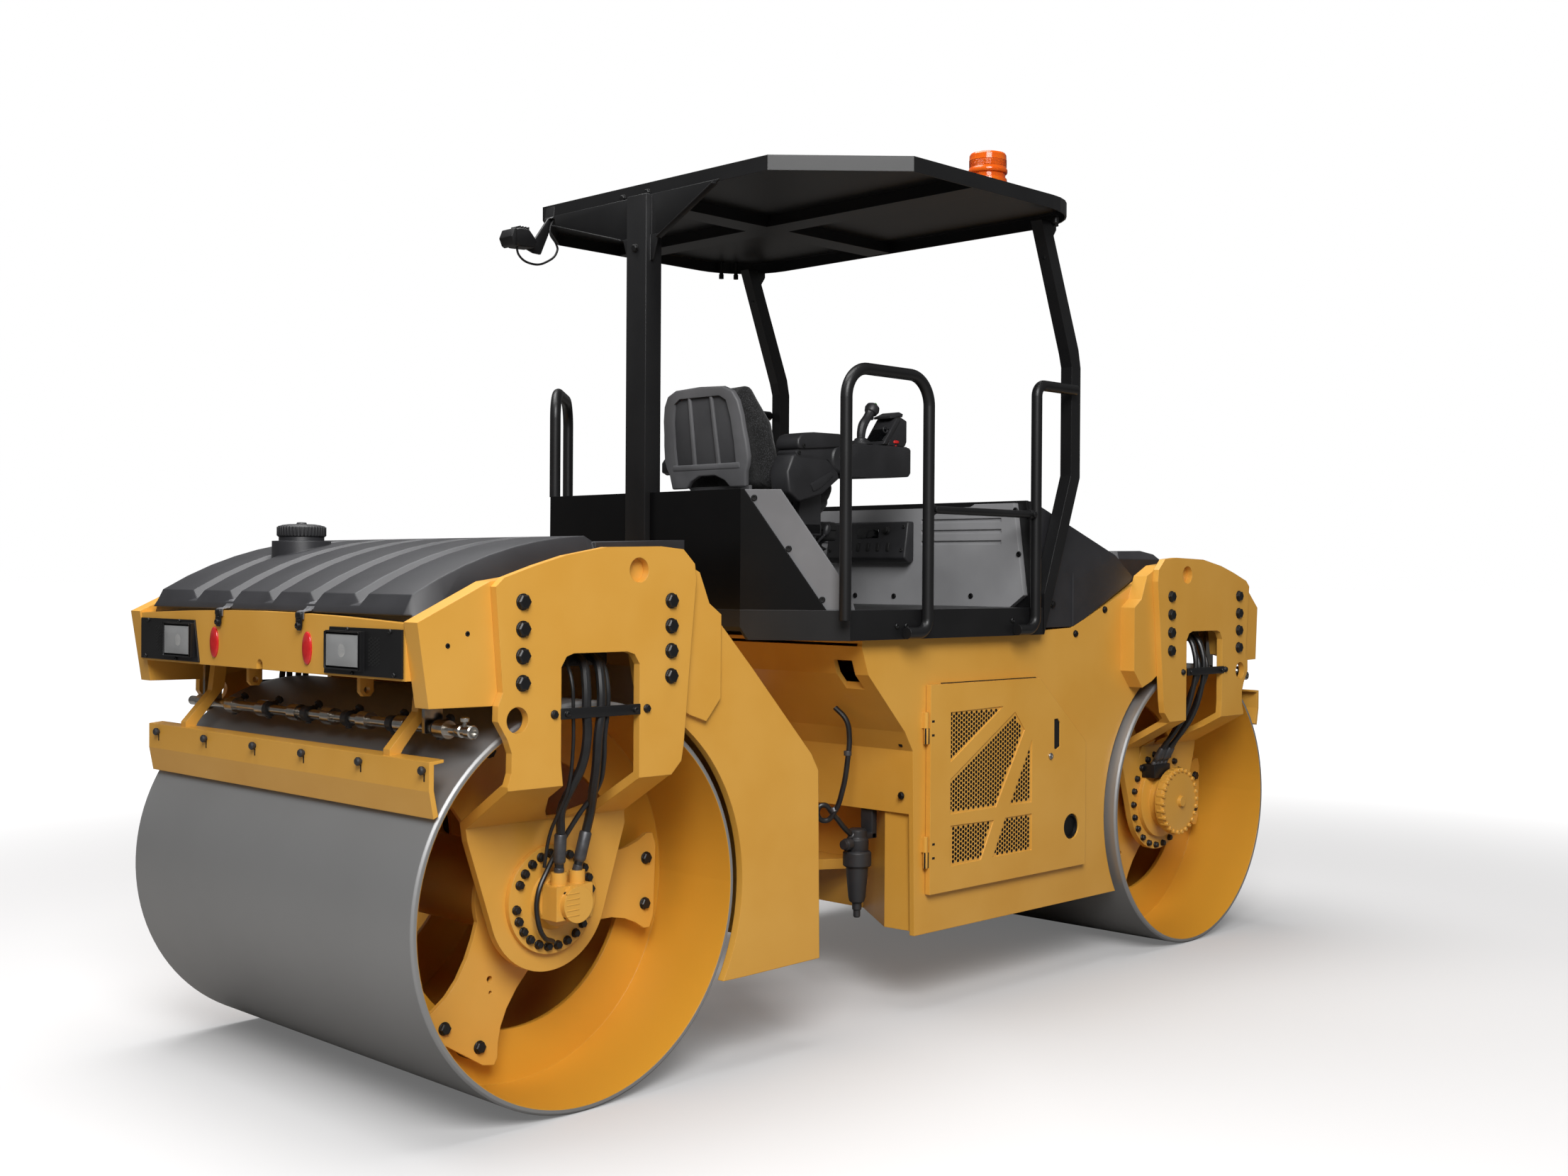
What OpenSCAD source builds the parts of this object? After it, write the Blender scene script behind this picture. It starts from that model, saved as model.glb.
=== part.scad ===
// Tandem roller with a centre hinge, two smooth drums, an open operator's platform and a canopy.
// Millimetres. Origin on the floor midway between the drum axles, +X forward, +Y to the left, +Z up.

/* [Drums] */
// Radius of each drum
drum_r = 552; // [540:1:560]
// Width of each drum
drum_w = 1500; // [1480:5:1520]
// Wall of the drum shell
shell_t = 17; // [14:1:20]
// Distance between the two drum axles
wheelbase = 3084; // [3070:2:3100]
// Thickness of the head plate inside each drum end
head_t = 15; // [12:1:18]
// Depth of the head plate below the drum's end
head_depth = 310; // [300:1:315]
// Radius of the opening in the head plate
head_hole_r = 385; // [375:1:392]
// Thickness of the three armed spider plate
spider_t = 16; // [12:1:20]
// Length of the rubber buffers between head plate and spider
buffer_len = 45; // [40:1:50]
// Radius of a rubber buffer
buffer_r = 38; // [34:1:42]
// Radius of the stub axle that turns in the hub
stub_r = 60; // [50:1:70]
// Radial running clearance of round pairs that turn
run_gap = 0.3; // [0.2:0.05:0.4]
// Gap between pieces that lie against each other with curved or moving faces
seat_gap = 0.3; // [0.2:0.05:0.5]

/* [Frames] */
// Thickness of the bolted leg plates
leg_t = 25; // [22:1:28]
// Outer face of the upper leg plate from the middle plane
leg_y = 800; // [797:1:805]
// Outer face of the lower leg plate from the middle plane
leg_low_y = 590; // [585:1:595]
// Width of the side beams that the legs are bolted to
beam_w = 60; // [50:1:65]
// Thickness of the front frame's side plates
plate_t = 20; // [16:1:24]
// Thickness of the rear frame's wing plates beside the hinge
wing_t = 25; // [20:1:30]
// Height of the lower edge of the frames
frame_low_z = 260; // [250:1:280]
// Radial gap between a frame plate's round edge and the drum
arc_gap = 23; // [20:1:30]
// Distance of the steering hinge behind the machine's middle
hinge_back = 390; // [385:1:395]
// Radius of the upright hinge pin
hinge_pin_r = 40; // [35:1:45]
// Radius of the lengthwise pin that lets the frames oscillate
roll_pin_r = 85; // [75:1:95]
// Height of the lengthwise pin
roll_z = 575; // [565:1:585]

/* [Platform] */
// Half width of the platform
deck_half_w = 755; // [750:1:758]
// Height of the platform floor
deck_z = 1335; // [1330:1:1340]
// Depth of the black skirt round the platform
skirt_h = 95; // [90:1:98]
// Thickness of folded sheet
sheet_t = 6; // [4:1:8]
// Height of the panels' upper edge
panel_top_z = 1715; // [1700:1:1730]

/* [Roof] */
// Height of the canopy's upper face
roof_z = 2750; // [2740:5:2800]
// Depth of the canopy's rim
rim_h = 48; // [40:1:60]
// Half width of the canopy
roof_half_w = 887; // [880:1:900]
// Width of a front post across the machine
post_w = 47; // [44:1:50]
// Depth of a front post along the machine
post_d = 55; // [50:1:60]
// Width of the rear post across the machine
rear_post_w = 100; // [90:1:110]
// Depth of the rear post along the machine
rear_post_d = 70; // [60:1:80]

/* [Fittings] */
// Diameter of the handrail tube
rail_d = 38; // [34:1:42]
// Thickness of a service door
door_t = 20; // [16:1:22]
// Radius of a door's hinge barrels
door_pin_r = 8; // [7:1:9]
// Radius of the lifting and tie down holes in the legs
lug_hole_r = 34; // [30:1:38]

/* [Hidden] */
$fn = 64;
axle_x = wheelbase / 2;
half_w = drum_w / 2;
leg_in_y = leg_y - leg_t;
leg_low_in_y = leg_low_y - leg_t;
beam_in_y = leg_in_y - beam_w;
arc_r = drum_r + arc_gap;
head_y = half_w - head_depth;
spider_y = head_y + buffer_len;
rim_low_z = roof_z - rim_h;
deck_low_z = deck_z - skirt_h;

// Colours of the finishes
yellow = [0.84, 0.64, 0.29];
black = [0.14, 0.14, 0.15];
grey = [0.5, 0.5, 0.5];
steel = [0.55, 0.55, 0.55];
amber = [0.9, 0.35, 0.1];
rubber = [0.09, 0.09, 0.09];

// Children on both sides of the machine
module both_sides() {
  children();
  mirror([0, 1, 0]) children();
}

// Children at the front end, or mirrored to the rear end when end is -1
module at_end(end) {
  mirror([end < 0 ? 1 : 0, 0, 0]) children();
}

// Outline in X and Z, extruded from y0 to y1
module slab_xz(y0, y1) {
  translate([0, y1, 0]) rotate([90, 0, 0]) linear_extrude(y1 - y0) children();
}

// Outline in Y and Z, extruded from x0 to x1
module slab_yz(x0, x1) {
  translate([x0, 0, 0]) rotate([90, 0, 90]) linear_extrude(x1 - x0) children();
}

// Outline in X and Y, extruded from z0 to z1
module slab_xy(z0, z1) {
  translate([0, 0, z0]) linear_extrude(z1 - z0) children();
}

// Round bar along Y from y0 to y1
module bar_y(x, z, r, y0, y1) {
  translate([x, y1, z]) rotate([90, 0, 0]) cylinder(r = r, h = y1 - y0);
}

// Round bar along X from x0 to x1
module bar_x(y, z, r, x0, x1) {
  translate([x0, y, z]) rotate([0, 90, 0]) cylinder(r = r, h = x1 - x0);
}

// Points on an arc about a centre, from angle a0 to a1 in n steps
function arc_points(cx, cy, r, a0, a1, n) =
  [for (i = [0:n]) let (a = a0 + (a1 - a0) * i / n) [cx + r * cos(a), cy + r * sin(a)]];

// Drums
spider_r = 462;
spider_hub_r = 185;
arm_half_w = 140;
arm_angles = [-2, 118, 238];
buffer_ring_r = 430;
buffer_step = 9;
core_r = 150;

module drum() {
  rotate([90, 0, 0]) rotate_extrude($fn = 180) {
    polygon([
      [drum_r - shell_t, -half_w], [drum_r - 6, -half_w], [drum_r, -half_w + 6],
      [drum_r, half_w - 6], [drum_r - 6, half_w], [drum_r - shell_t, half_w]
    ]);
    for (s = [-1, 1])
      translate([head_hole_r, s > 0 ? head_y - head_t : -head_y])
        square([drum_r - shell_t - head_hole_r + 1, head_t]);
  }
}

// One side of an arm, waisted between the hub and its wide end
arm_side = [
  [120, 126], [185, 108], [240, 98], [300, 96], [350, 104], [392, 120], [spider_r - 36, arm_half_w],
  [spider_r - 14, arm_half_w], [spider_r, arm_half_w - 34]
];

module spider_plate() {
  last = len(arm_side) - 1;
  difference() {
    union() {
      circle(r = spider_hub_r);
      for (a = arm_angles) rotate(a)
        polygon(concat(arm_side, [for (i = [0:last]) [arm_side[last - i][0], -arm_side[last - i][1]]]));
    }
    for (a = arm_angles) rotate(a) {
      translate([255, 0]) circle(r = 9);
      translate([285, 22]) circle(r = 5);
    }
  }
}

module spiders() {
  rotate([90, 0, 0]) rotate_extrude() polygon([
    [0, -leg_low_in_y - 12], [stub_r, -leg_low_in_y - 12], [stub_r, -spider_y - spider_t],
    [core_r, -spider_y],
    [core_r, -spider_y + 40], [core_r - 30, -spider_y + 60], [core_r - 30, spider_y - 60],
    [core_r, spider_y - 40],
    [core_r, spider_y], [stub_r, spider_y + spider_t], [stub_r, leg_low_in_y + 12],
    [0, leg_low_in_y + 12]
  ]);
  both_sides() slab_xz(-spider_y - spider_t, -spider_y) spider_plate();
}

module buffers() {
  both_sides()
    for (a = arm_angles, s = [-1, 1])
      rotate([0, -(a + s * buffer_step), 0]) translate([buffer_ring_r, -spider_y, 0])
        rotate([-90, 0, 0]) cylinder(r = buffer_r, h = buffer_len);
}

module at_axle(end) {
  translate([end * axle_x, 0, drum_r]) children();
}

module front_drum() { color(steel) at_axle(1) drum(); }
module rear_drum() { color(steel) at_axle(-1) drum(); }
module front_spiders() { color(yellow) at_axle(1) spiders(); }
module rear_spiders() { color(yellow) at_axle(-1) spiders(); }
module front_buffers() { color(rubber) at_axle(1) buffers(); }
module rear_buffers() { color(rubber) at_axle(-1) buffers(); }

// Legs: one plate each, bent inwards below the drum's rim and round about the axle at its foot
bend_top_z = 338;
bend_low_z = 218;
leg_foot_r = 200;
hub_hole_r = 100;
bend_angle = atan2(leg_y - leg_low_y, bend_top_z - bend_low_z);
bend_shift = leg_t * tan(bend_angle / 2);
lift_hole = [-137, 903];
tow_hole = [270, 517];

// Section of the bent plate, Y outwards and Z above the axle
module leg_section() {
  polygon([
    [leg_y, 1000], [leg_y, bend_top_z], [leg_low_y, bend_low_z], [leg_low_y, -220],
    [leg_low_in_y, -220], [leg_low_in_y, bend_low_z + bend_shift], [leg_in_y, bend_top_z + bend_shift],
    [leg_in_y, 1000]
  ]);
}

// Outline seen from the side, X outwards from the axle and Z above it
module leg_outline() {
  difference() {
    union() {
      polygon([
        [339, 858], [314, 881], [211, 914], [116, 940], [-22, 964], [-215, 969], [-299, 962],
        [-342, 922],
        [-349, 877], [-331, 707], [-311, 492], [-303, 417], [-295, 374], [-253, 333], [-269, 183],
        [-leg_foot_r * cos(20), -leg_foot_r * sin(20)], [leg_foot_r * cos(20), -leg_foot_r * sin(20)],
        [273, 183], [300, 348], [288, 382], [287, 433], [301, 469], [331, 516], [330, 556], [316, 590]
      ]);
      circle(r = leg_foot_r);
    }
    polygon([
      [-140, 170], [-140, 648], [-122, 675], [-96, 683], [88, 683], [112, 675], [129, 648],
      [129, 400], [118, 300], [60, 250], [20, 225], [-60, 225], [-110, 250]
    ]);
    translate(lift_hole) circle(r = lug_hole_r);
    translate(tow_hole) circle(r = lug_hole_r);
    circle(r = hub_hole_r);
  }
}

module leg(end, side) {
  translate([end * axle_x, 0, drum_r]) at_end(end) mirror([0, side < 0 ? 1 : 0, 0])
    intersection() {
      slab_yz(-400, 400) leg_section();
      slab_xz(leg_low_in_y - 10, leg_y + 10) leg_outline();
    }
}

module front_right_leg() { color(yellow) leg(1, -1); }
module front_left_leg() { color(yellow) leg(1, 1); }
module rear_right_leg() { color(yellow) leg(-1, -1); }
module rear_left_leg() { color(yellow) leg(-1, 1); }

// Hubs: the bearing housing inside the leg, and the motor outside it
housing_r = 150;
drive_r = 130;

module hub_housing() {
  difference() {
    rotate([-90, 0, 0]) rotate_extrude() polygon([
      [0, spider_y + spider_t + 12], [housing_r - 20, spider_y + spider_t + 12],
      [housing_r, spider_y + spider_t + 24], [housing_r, leg_low_in_y],
      [hub_hole_r - run_gap, leg_low_in_y],
      [hub_hole_r - run_gap, leg_low_y], [0, leg_low_y]
    ]);
    rotate([-90, 0, 0]) cylinder(r = stub_r + run_gap, h = leg_low_in_y + 13);
  }
}

// Round drive motor with a toothed rim
module drive_motor() {
  rotate([-90, 0, 0]) rotate_extrude() polygon([
    [0, leg_low_y], [housing_r, leg_low_y], [housing_r, leg_low_y + 18], [drive_r - 18, leg_low_y + 30],
    [drive_r - 18, leg_low_y + 62], [drive_r, leg_low_y + 66], [drive_r, leg_low_y + 92],
    [drive_r - 10, leg_low_y + 100], [24, leg_low_y + 104], [20, leg_low_y + 116], [0, leg_low_y + 116]
  ]);
}

// Small vibration motor with two ports on top
module vibration_motor() {
  rotate([-90, 0, 0]) rotate_extrude() polygon([
    [0, leg_low_y], [housing_r, leg_low_y], [housing_r, leg_low_y + 16], [82, leg_low_y + 22],
    [70, leg_low_y + 46], [0, leg_low_y + 46]
  ]);
  translate([-62, leg_low_y + 40, -42]) cube([124, 70, 92]);
  bar_y(0, 0, 50, leg_low_y + 40, leg_low_y + 128);
  for (x = [-28, 34]) translate([x, leg_low_y + 76, 50]) cylinder(r = 22, h = 34);
}

module hubs(end, drive_side) {
  at_axle(end) {
    both_sides() hub_housing();
    mirror([0, drive_side < 0 ? 1 : 0, 0]) drive_motor();
    mirror([0, drive_side < 0 ? 0 : 1, 0]) vibration_motor();
  }
}

module front_hubs() { color(yellow) hubs(1, -1); }
module rear_hubs() { color(yellow) hubs(-1, 1); }

// Side beams that carry the legs, longer at the rear: X outwards from the machine's middle
beam_end_a = axle_x + 555;
front_end_a = axle_x + 452;
beam_start_a = axle_x - 469;
beam_low_z = 1107;
beam_low_in_z = 1135;
beam_arch_z = 1250;

function end_a(end) = end < 0 ? beam_end_a : front_end_a;
function end_lean(end) = end < 0 ? 34 : 12;

module side_beam_outline(end) {
  polygon([
    [end_a(end), 1322], [end_a(end) - end_lean(end), beam_low_z + 2], [axle_x + 335, beam_low_z],
    [axle_x + 180, beam_low_in_z],
    [axle_x + 158, beam_arch_z], [axle_x - 165, beam_arch_z], [axle_x - 190, beam_low_in_z],
    [axle_x - 348, 1049],
    [axle_x - 413, 1027], [beam_start_a, 1091], [beam_start_a, 1330], [axle_x - 422, 1362],
    [axle_x - 384, 1450], [axle_x - 299, 1490], [axle_x - 215, 1498], [axle_x - 22, 1490],
    [axle_x + 116, 1468], [axle_x + 211, 1442], [axle_x + 340, 1423]
  ]);
}

module side_beams(end) {
  both_sides() slab_xz(beam_in_y, leg_in_y) side_beam_outline(end);
}

// Rear frame
gap_a = 636;
tray_z = 1310;
tray_t = 10;
tray_start_a = 1100;
wing_y = 760;

module wing_outline() {
  difference() {
    polygon([
      [axle_x - 384, 1450], [axle_x - 422, 1362], [934, 1173], [677, 901], [646, 849], [gap_a, 274],
      [958, 269], [axle_x - 300, 269], [axle_x - 300, 1060]
    ]);
    translate([axle_x, drum_r]) circle(r = arc_r, $fn = 180);
  }
}

module rear_frame() {
  color(yellow) at_end(-1) {
    difference() {
      union() {
        side_beams(-1);
        both_sides() slab_xz(wing_y - wing_t, wing_y) wing_outline();
        // Wall towards the hinge, bent as the wings' edge is
        slab_xz(-wing_y + 5, wing_y - 5) polygon([
          [gap_a + 2, 300], [gap_a + 22, 300], [670, 845], [695, 886], [950, 1156], [950, 1190],
          [677, 903], [648, 850]
        ]);
        // Cross member above the drum, and the tray that the tank stands in
        slab_xz(-beam_in_y, beam_in_y) polygon([
          [935, 1172], [1000, 1172], [1150, 1172], [1150, tray_z], [1060, tray_z]]);
        slab_xz(-beam_in_y, beam_in_y) polygon([
          [tray_start_a, tray_z - tray_t], [beam_end_a - 40, tray_z - tray_t],
          [beam_end_a - 40, tray_z],
          [tray_start_a, tray_z]]);
        bar_x(0, roll_z, roll_pin_r + 65, gap_a + 10, gap_a + 130);
        for (s = [-1, 1]) slab_xy(roll_z - 160, roll_z + 160)
          polygon([[gap_a + 12, s * 120], [gap_a + 12, s * 300], [gap_a + 120, s * 130]]);
      }
      bar_x(0, roll_z, roll_pin_r + run_gap, gap_a - 20, gap_a + 200);
    }
  }
}

// Crosswise end beams: a shallow channel, crowned along its upper edge
end_beam_low_z = 1175;
crown_drop = 18;
keyhole_r = 16;
keyhole_z = 1187;

module end_beam(end) {
  face_a = end_a(end) - beam_inset;
  at_end(end) {
    difference() {
      slab_yz(face_a - beam_t, face_a) polygon(concat(
        [[-beam_in_y, end_beam_low_z]],
        [[beam_in_y, end_beam_low_z], [beam_in_y, beam_crown_z - crown_drop]],
        [for (i = [-3:3]) [-i * 200, beam_crown_z - crown_drop * pow(i / 3.5, 2)]],
        [[-beam_in_y, beam_crown_z - crown_drop]]));
      // Channel behind the face
      translate([face_a - beam_t - 10, -beam_in_y + 20, end_beam_low_z + 15])
        cube([30, 2 * beam_in_y - 40, beam_crown_z - crown_drop - end_beam_low_z - 35]);
      // Round ended slot in the middle of the lower edge
      translate([face_a - beam_t - 20, 0, keyhole_z]) rotate([0, 90, 0])
        cylinder(r = keyhole_r, h = 80);
      translate([face_a - beam_t - 20, -keyhole_r, keyhole_z - 27]) cube([80, 2 * keyhole_r, 27]);
    }
  }
}

module rear_beam() { color(yellow) end_beam(-1); }
module front_beam() { color(yellow) end_beam(1); }

// Front frame, with its wall towards the hinge bent at wall_bend, and recessed below its flange
gap_x = -132;
recess_z = 660;
recess_x = 65;
recess_y = 316;
facet_y = 585;
wall_t = 12;
floor_z = frame_low_z + 12;
wall_bend = [-145, 869];
function wall_x(z) = gap_x + (wall_bend[0] - gap_x) * (z - frame_low_z) / (wall_bend[1] - frame_low_z);
lug_top_z = 700;
lug_low_z = 410;
lug_t = 36;
lug_r = 95;
lug_root_w = 230;
wall_window_y = [579, 658];
wall_window_z = [1071, 1172];

module side_plate_outline() {
  difference() {
    polygon([
      [-400, 1219], [-367, 1126], [-185, 934], wall_bend, [gap_x, frame_low_z], [967, frame_low_z],
      [axle_x - 300, frame_low_z], [axle_x - 300, 1090], [axle_x - 150, 1300], [axle_x - 150, 1470],
      [1298, 1480], [997, 1349], [748, 1259], [581, 1253], [567, deck_low_z], [-395, deck_low_z]
    ]);
    translate([axle_x, drum_r]) circle(r = arc_r, $fn = 180);
    // Service opening behind the door
    polygon([[-20, 430], [-20, 1040], [500, 1040], [770, 815], [770, 430]]);
  }
}

// Round ended lug for the upright pin
module hitch_lug(z) {
  slab_xy(z, z + lug_t) difference() {
    union() {
      polygon([
        [recess_x + wall_t / 2, -recess_y + 10], [recess_x + wall_t / 2, recess_y - 10],
        [recess_x - 120, lug_root_w], [-hinge_back, lug_r], [-hinge_back, -lug_r],
        [recess_x - 120, -lug_root_w]]);
      translate([-hinge_back, 0]) circle(r = lug_r);
    }
    translate([-hinge_back, 0]) circle(r = hinge_pin_r + run_gap);
  }
}

// Line of the recessed wall seen from above, moved forward by shift
function recess_line(shift) = [
  for (p = [
    [gap_x + 8, -beam_in_y + plate_t], [gap_x, -facet_y], [recess_x, -recess_y],
    [recess_x, recess_y], [gap_x, facet_y], [gap_x + 8, beam_in_y - plate_t]
  ]) [p[0] + shift, p[1]]
];

function reversed(list) = [for (i = [len(list) - 1:-1:0]) list[i]];

module recessed_wall() {
  difference() {
    slab_xy(floor_z, recess_z + 2) polygon(concat(recess_line(0), reversed(recess_line(wall_t))));
    // Opening for the steering cylinder
    translate([recess_x - 10, 60, roll_z - 95]) cube([wall_t + 20, 180, 190]);
  }
  // Flange over the recess
  slab_xy(recess_z, recess_z + wall_t) polygon(concat(
    [[wall_x(recess_z), beam_in_y - plate_t],
    [wall_x(recess_z), -beam_in_y + plate_t]], recess_line(wall_t)));
}

module front_frame() {
  color(yellow) {
    side_beams(1);
    both_sides() slab_xz(beam_in_y - plate_t, beam_in_y) side_plate_outline();
    // Upper wall towards the hinge, with a window beside each side plate
    difference() {
      slab_xz(-beam_in_y + plate_t, beam_in_y - plate_t)
        polygon([
          [wall_x(recess_z), recess_z], [wall_x(recess_z) + 20, recess_z], [-127, 872], [-168, 940],
          [-350, 1132],
          [-385, 1219], [-400, 1219], [-367, 1126], [-185, 934], wall_bend]);
      both_sides() translate([-420, -wall_window_y[1], wall_window_z[0]])
        cube([100, wall_window_y[1] - wall_window_y[0], wall_window_z[1] - wall_window_z[0]]);
    }
    recessed_wall();
    hitch_lug(lug_top_z);
    hitch_lug(lug_low_z);
    // Floor plate, deck plate, drum side wall and the cross member above the drum
    slab_xy(floor_z, floor_z + wall_t) polygon(concat(
      recess_line(wall_t / 2), [[925, beam_in_y - plate_t], [925, -beam_in_y + plate_t]]));
    slab_xz(-beam_in_y + plate_t, beam_in_y - plate_t) polygon([
      [910, frame_low_z], [925, frame_low_z], [925, 1240], [910, 1240]]);
    slab_xz(-beam_in_y, beam_in_y) polygon([
      [925, 1180], [1150, 1180], [1150, tray_z], [925, tray_z]]);
    slab_xz(-beam_in_y, beam_in_y) polygon([
      [tray_start_a, tray_z - tray_t], [front_end_a - 40, tray_z - tray_t], [front_end_a - 40, tray_z],
      [tray_start_a, tray_z]]);
    slab_xy(deck_low_z - 12, deck_low_z)
      polygon([[-398, -beam_in_y], [915, -beam_in_y], [915, beam_in_y], [-398, beam_in_y]]);
    // Bracket for the steering cylinder
    slab_xy(roll_z - 26, roll_z - 14) steering_bracket();
    slab_xy(roll_z + 14, roll_z + 26) steering_bracket();
    translate([barrel_base_x + 60, barrel_y - 60, floor_z + 2]) cube([20, 120, roll_z + 60 - floor_z]);
    // Fixed halves of the door hinges
    both_sides() for (z = hinge_heights)
      translate([door_hinge_x, -door_hinge_y, z + hinge_barrel_h / 2 + seat_gap]) {
        cylinder(r = door_pin_r, h = hinge_barrel_h / 2);
        translate([-door_pin_r, 0, 0])
          cube([2 * door_pin_r, door_hinge_y - beam_in_y + 2, hinge_barrel_h / 2]);
      }
  }
}

// Doors: hinged at their edge towards the gap
door_x0 = -80;
door_hinge_x = -92;
door_gap = 2;
door_hinge_y = beam_in_y + door_gap + door_t / 2;
hinge_heights = [480, 890];
hinge_barrel_h = 104;

module door_outline() {
  difference() {
    polygon([[door_x0, 391], [816, 391], [816, 841], [527, 1085], [door_x0, 1085]]);
    // Round hole and finger slot
    translate([726, 538]) circle(r = 46);
    polygon([[616, 934], [638, 935], [652, 920], [652, 834], [627, 823], [617, 829]]);
  }
}

// Outlines of the perforated fields, which are left as windows with a thin sheet in them
module door_fields() {
  polygon([[26, 822], [26, 989], [314, 995]]);
  polygon([[26, 648], [26, 765], [383, 972], [440, 906], [276, 650]]);
  polygon([[355, 650], [483, 868], [483, 648]]);
  polygon([[28, 474], [28, 609], [265, 605], [194, 477]]);
  polygon([[261, 479], [330, 607], [484, 607], [484, 479]]);
}

module right_door() {
  color(yellow) {
    difference() {
      slab_xz(-beam_in_y - door_gap - door_t, -beam_in_y - door_gap) door_outline();
      slab_xz(-beam_in_y - door_gap - door_t - 1, -beam_in_y - door_gap - door_t + 4) door_fields();
    }
    for (z = hinge_heights) translate([door_hinge_x, -door_hinge_y, z]) {
      cylinder(r = door_pin_r, h = hinge_barrel_h / 2);
      translate([0, -4, 0]) cube([door_x0 - door_hinge_x + 2, 8, hinge_barrel_h / 2]);
    }
  }
}

module left_door() { mirror([0, 1, 0]) right_door(); }

// Engine as one plain block on the floor plate
module engine() {
  color([0.3, 0.3, 0.32]) translate([230, -330, floor_z + wall_t]) cube([640, 660, 768]);
}

// Platform: a folded deck with chamfered rear corners
deck_rear_x = -712;
front_wall_x = 500;
wall_cover_t = 14;
deck_front_x = front_wall_x + wall_cover_t + 2;
chamfer_y = 480;
chamfer_x = -500;

module deck_outline(inset) {
  polygon([
    [deck_rear_x + inset, -chamfer_y + inset / 2], [chamfer_x + inset / 2, -deck_half_w + inset],
    [deck_front_x, -deck_half_w + inset], [deck_front_x, deck_half_w - inset],
    [chamfer_x + inset / 2, deck_half_w - inset], [deck_rear_x + inset, chamfer_y - inset / 2]
  ]);
}

module platform() {
  color(black) difference() {
    slab_xy(deck_z - skirt_h, deck_z) deck_outline(0);
    slab_xy(deck_z - skirt_h - 1, deck_z - sheet_t) deck_outline(sheet_t);
    // The skirt's rear corners slope in towards their lower edge
    slab_xz(-900, 900) polygon([
      [deck_rear_x - 10, deck_z - 30], [deck_rear_x - 10, deck_z - 200],
      [deck_rear_x + 60, deck_z - 200]]);
    rear_post_slot();
  }
}

// Slot for the rear post, with its faces on the post's own
module rear_post_slot() {
  translate([rear_post_x - 1, -rear_post_w / 2, deck_low_z - 1])
    cube([rear_post_d + 1, rear_post_w, panel_top_z - deck_low_z + 2]);
}

// Rear panel: a wall along the chamfered edge, cut off along a slope
module panel_slope(shift) {
  slab_xz(-900, 900) polygon([
    [-900, deck_z], [-545 + shift, deck_z], [-705 + shift, panel_top_z], [-900, panel_top_z]]);
}

module rear_panel() {
  color(black) intersection() {
    difference() {
      slab_xy(deck_z, panel_top_z) deck_outline(0);
      slab_xy(deck_z - 1, panel_top_z + 1) deck_outline(sheet_t);
      rear_post_slot();
    }
    panel_slope(0);
  }
}

module rear_liner() {
  color(grey) intersection() {
    difference() {
      slab_xy(deck_z, panel_top_z - 2) deck_outline(sheet_t);
      slab_xy(deck_z - 1, panel_top_z + 1) deck_outline(90);
      rear_post_slot();
    }
    panel_slope(75);
    translate([-700, -900, deck_z]) cube([400, 1800, 400]);
  }
}

// Front wall of the operator's place

module front_panel() {
  color(grey) {
    difference() {
      slab_yz(front_wall_x - 26, front_wall_x) polygon([
        [-700, 1378], [-655, 1706], [-480, 1706], [-460, 1696], [460, 1696], [480, 1706],
        [655, 1706], [700, 1378],
        [640, deck_z], [-640, deck_z]]);
      for (z = [1560, 1600, 1640]) for (s = [-1, 1])
        translate([front_wall_x - 30, s > 0 ? 230 : -600, z]) cube([10, 370, 14]);
    }
  }
}

module front_frame_cover() {
  color(black) slab_yz(front_wall_x, front_wall_x + wall_cover_t) polygon([
    [-705, deck_z], [-705, panel_top_z - 75], [-690, panel_top_z], [690, panel_top_z],
    [705, panel_top_z - 75],
    [705, deck_z]]);
}

module control_panel() {
  color(black) {
    slab_xz(-196, 204) polygon([
      [front_wall_x - 26, 1500], [front_wall_x - 56, 1492], [front_wall_x - 84, 1510],
      [front_wall_x - 62, 1645],
      [front_wall_x - 26, 1648]]);
  }
}

// Hood over the front of the front frame
module hood() {
  color(black) {
    difference() {
      hull() {
        slab_xz(-600, 600) polygon([
          [deck_front_x, 1300], [deck_front_x, panel_top_z - 2], [1045, 1530], [1150, 1448],
          [1150, 1318]]);
        slab_xz(-714, 714) polygon([
          [deck_front_x, 1262], [deck_front_x, 1340], [1035, 1526], [1150, 1448], [1140, 1432],
          [772, 1262]]);
        slab_xz(-690, 690) polygon([
          [deck_front_x, 1300], [deck_front_x, panel_top_z - 2], [540, panel_top_z - 2], [540, 1300]]);
      }
      hull() {
        slab_xz(-560, 560) polygon([
          [deck_front_x - 1, 1240], [deck_front_x - 1, panel_top_z - 30], [1035, 1500],
          [1120, 1430], [1120, 1240]]);
        slab_xz(-690, 690) polygon([
          [deck_front_x - 1, 1240], [deck_front_x - 1, 1330], [1000, 1490], [1120, 1420],
          [1120, 1240]]);
      }
      both_sides() {
        // Room for the two posts, up to their inner faces
        translate([0, -deck_half_w - 5, 1200]) cube([760, deck_half_w + 5 - post_out_y + post_w, 600]);
        slab_xz(-beam_in_y, -beam_in_y + plate_t) side_plate_outline();
      }
    }
  }
}

// Cover over the front of the machine, between the legs
module front_cover() {
  color(black) intersection() {
    slab_xz(-640, 640) polygon([
      [1152, tray_z], [1152, 1500], [1197, 1545], [1362, 1549], [1440, 1536], [1500, 1470],
      [1500, tray_z]]);
    slab_yz(1150, 1502) polygon([
      [-640, tray_z], [-640, 1515], [-610, 1550], [610, 1550], [640, 1515], [640, tray_z]]);
  }
}

// Posts and canopy
rear_post_x = -735;
post_out_y = 758;
post_x = 732;

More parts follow.
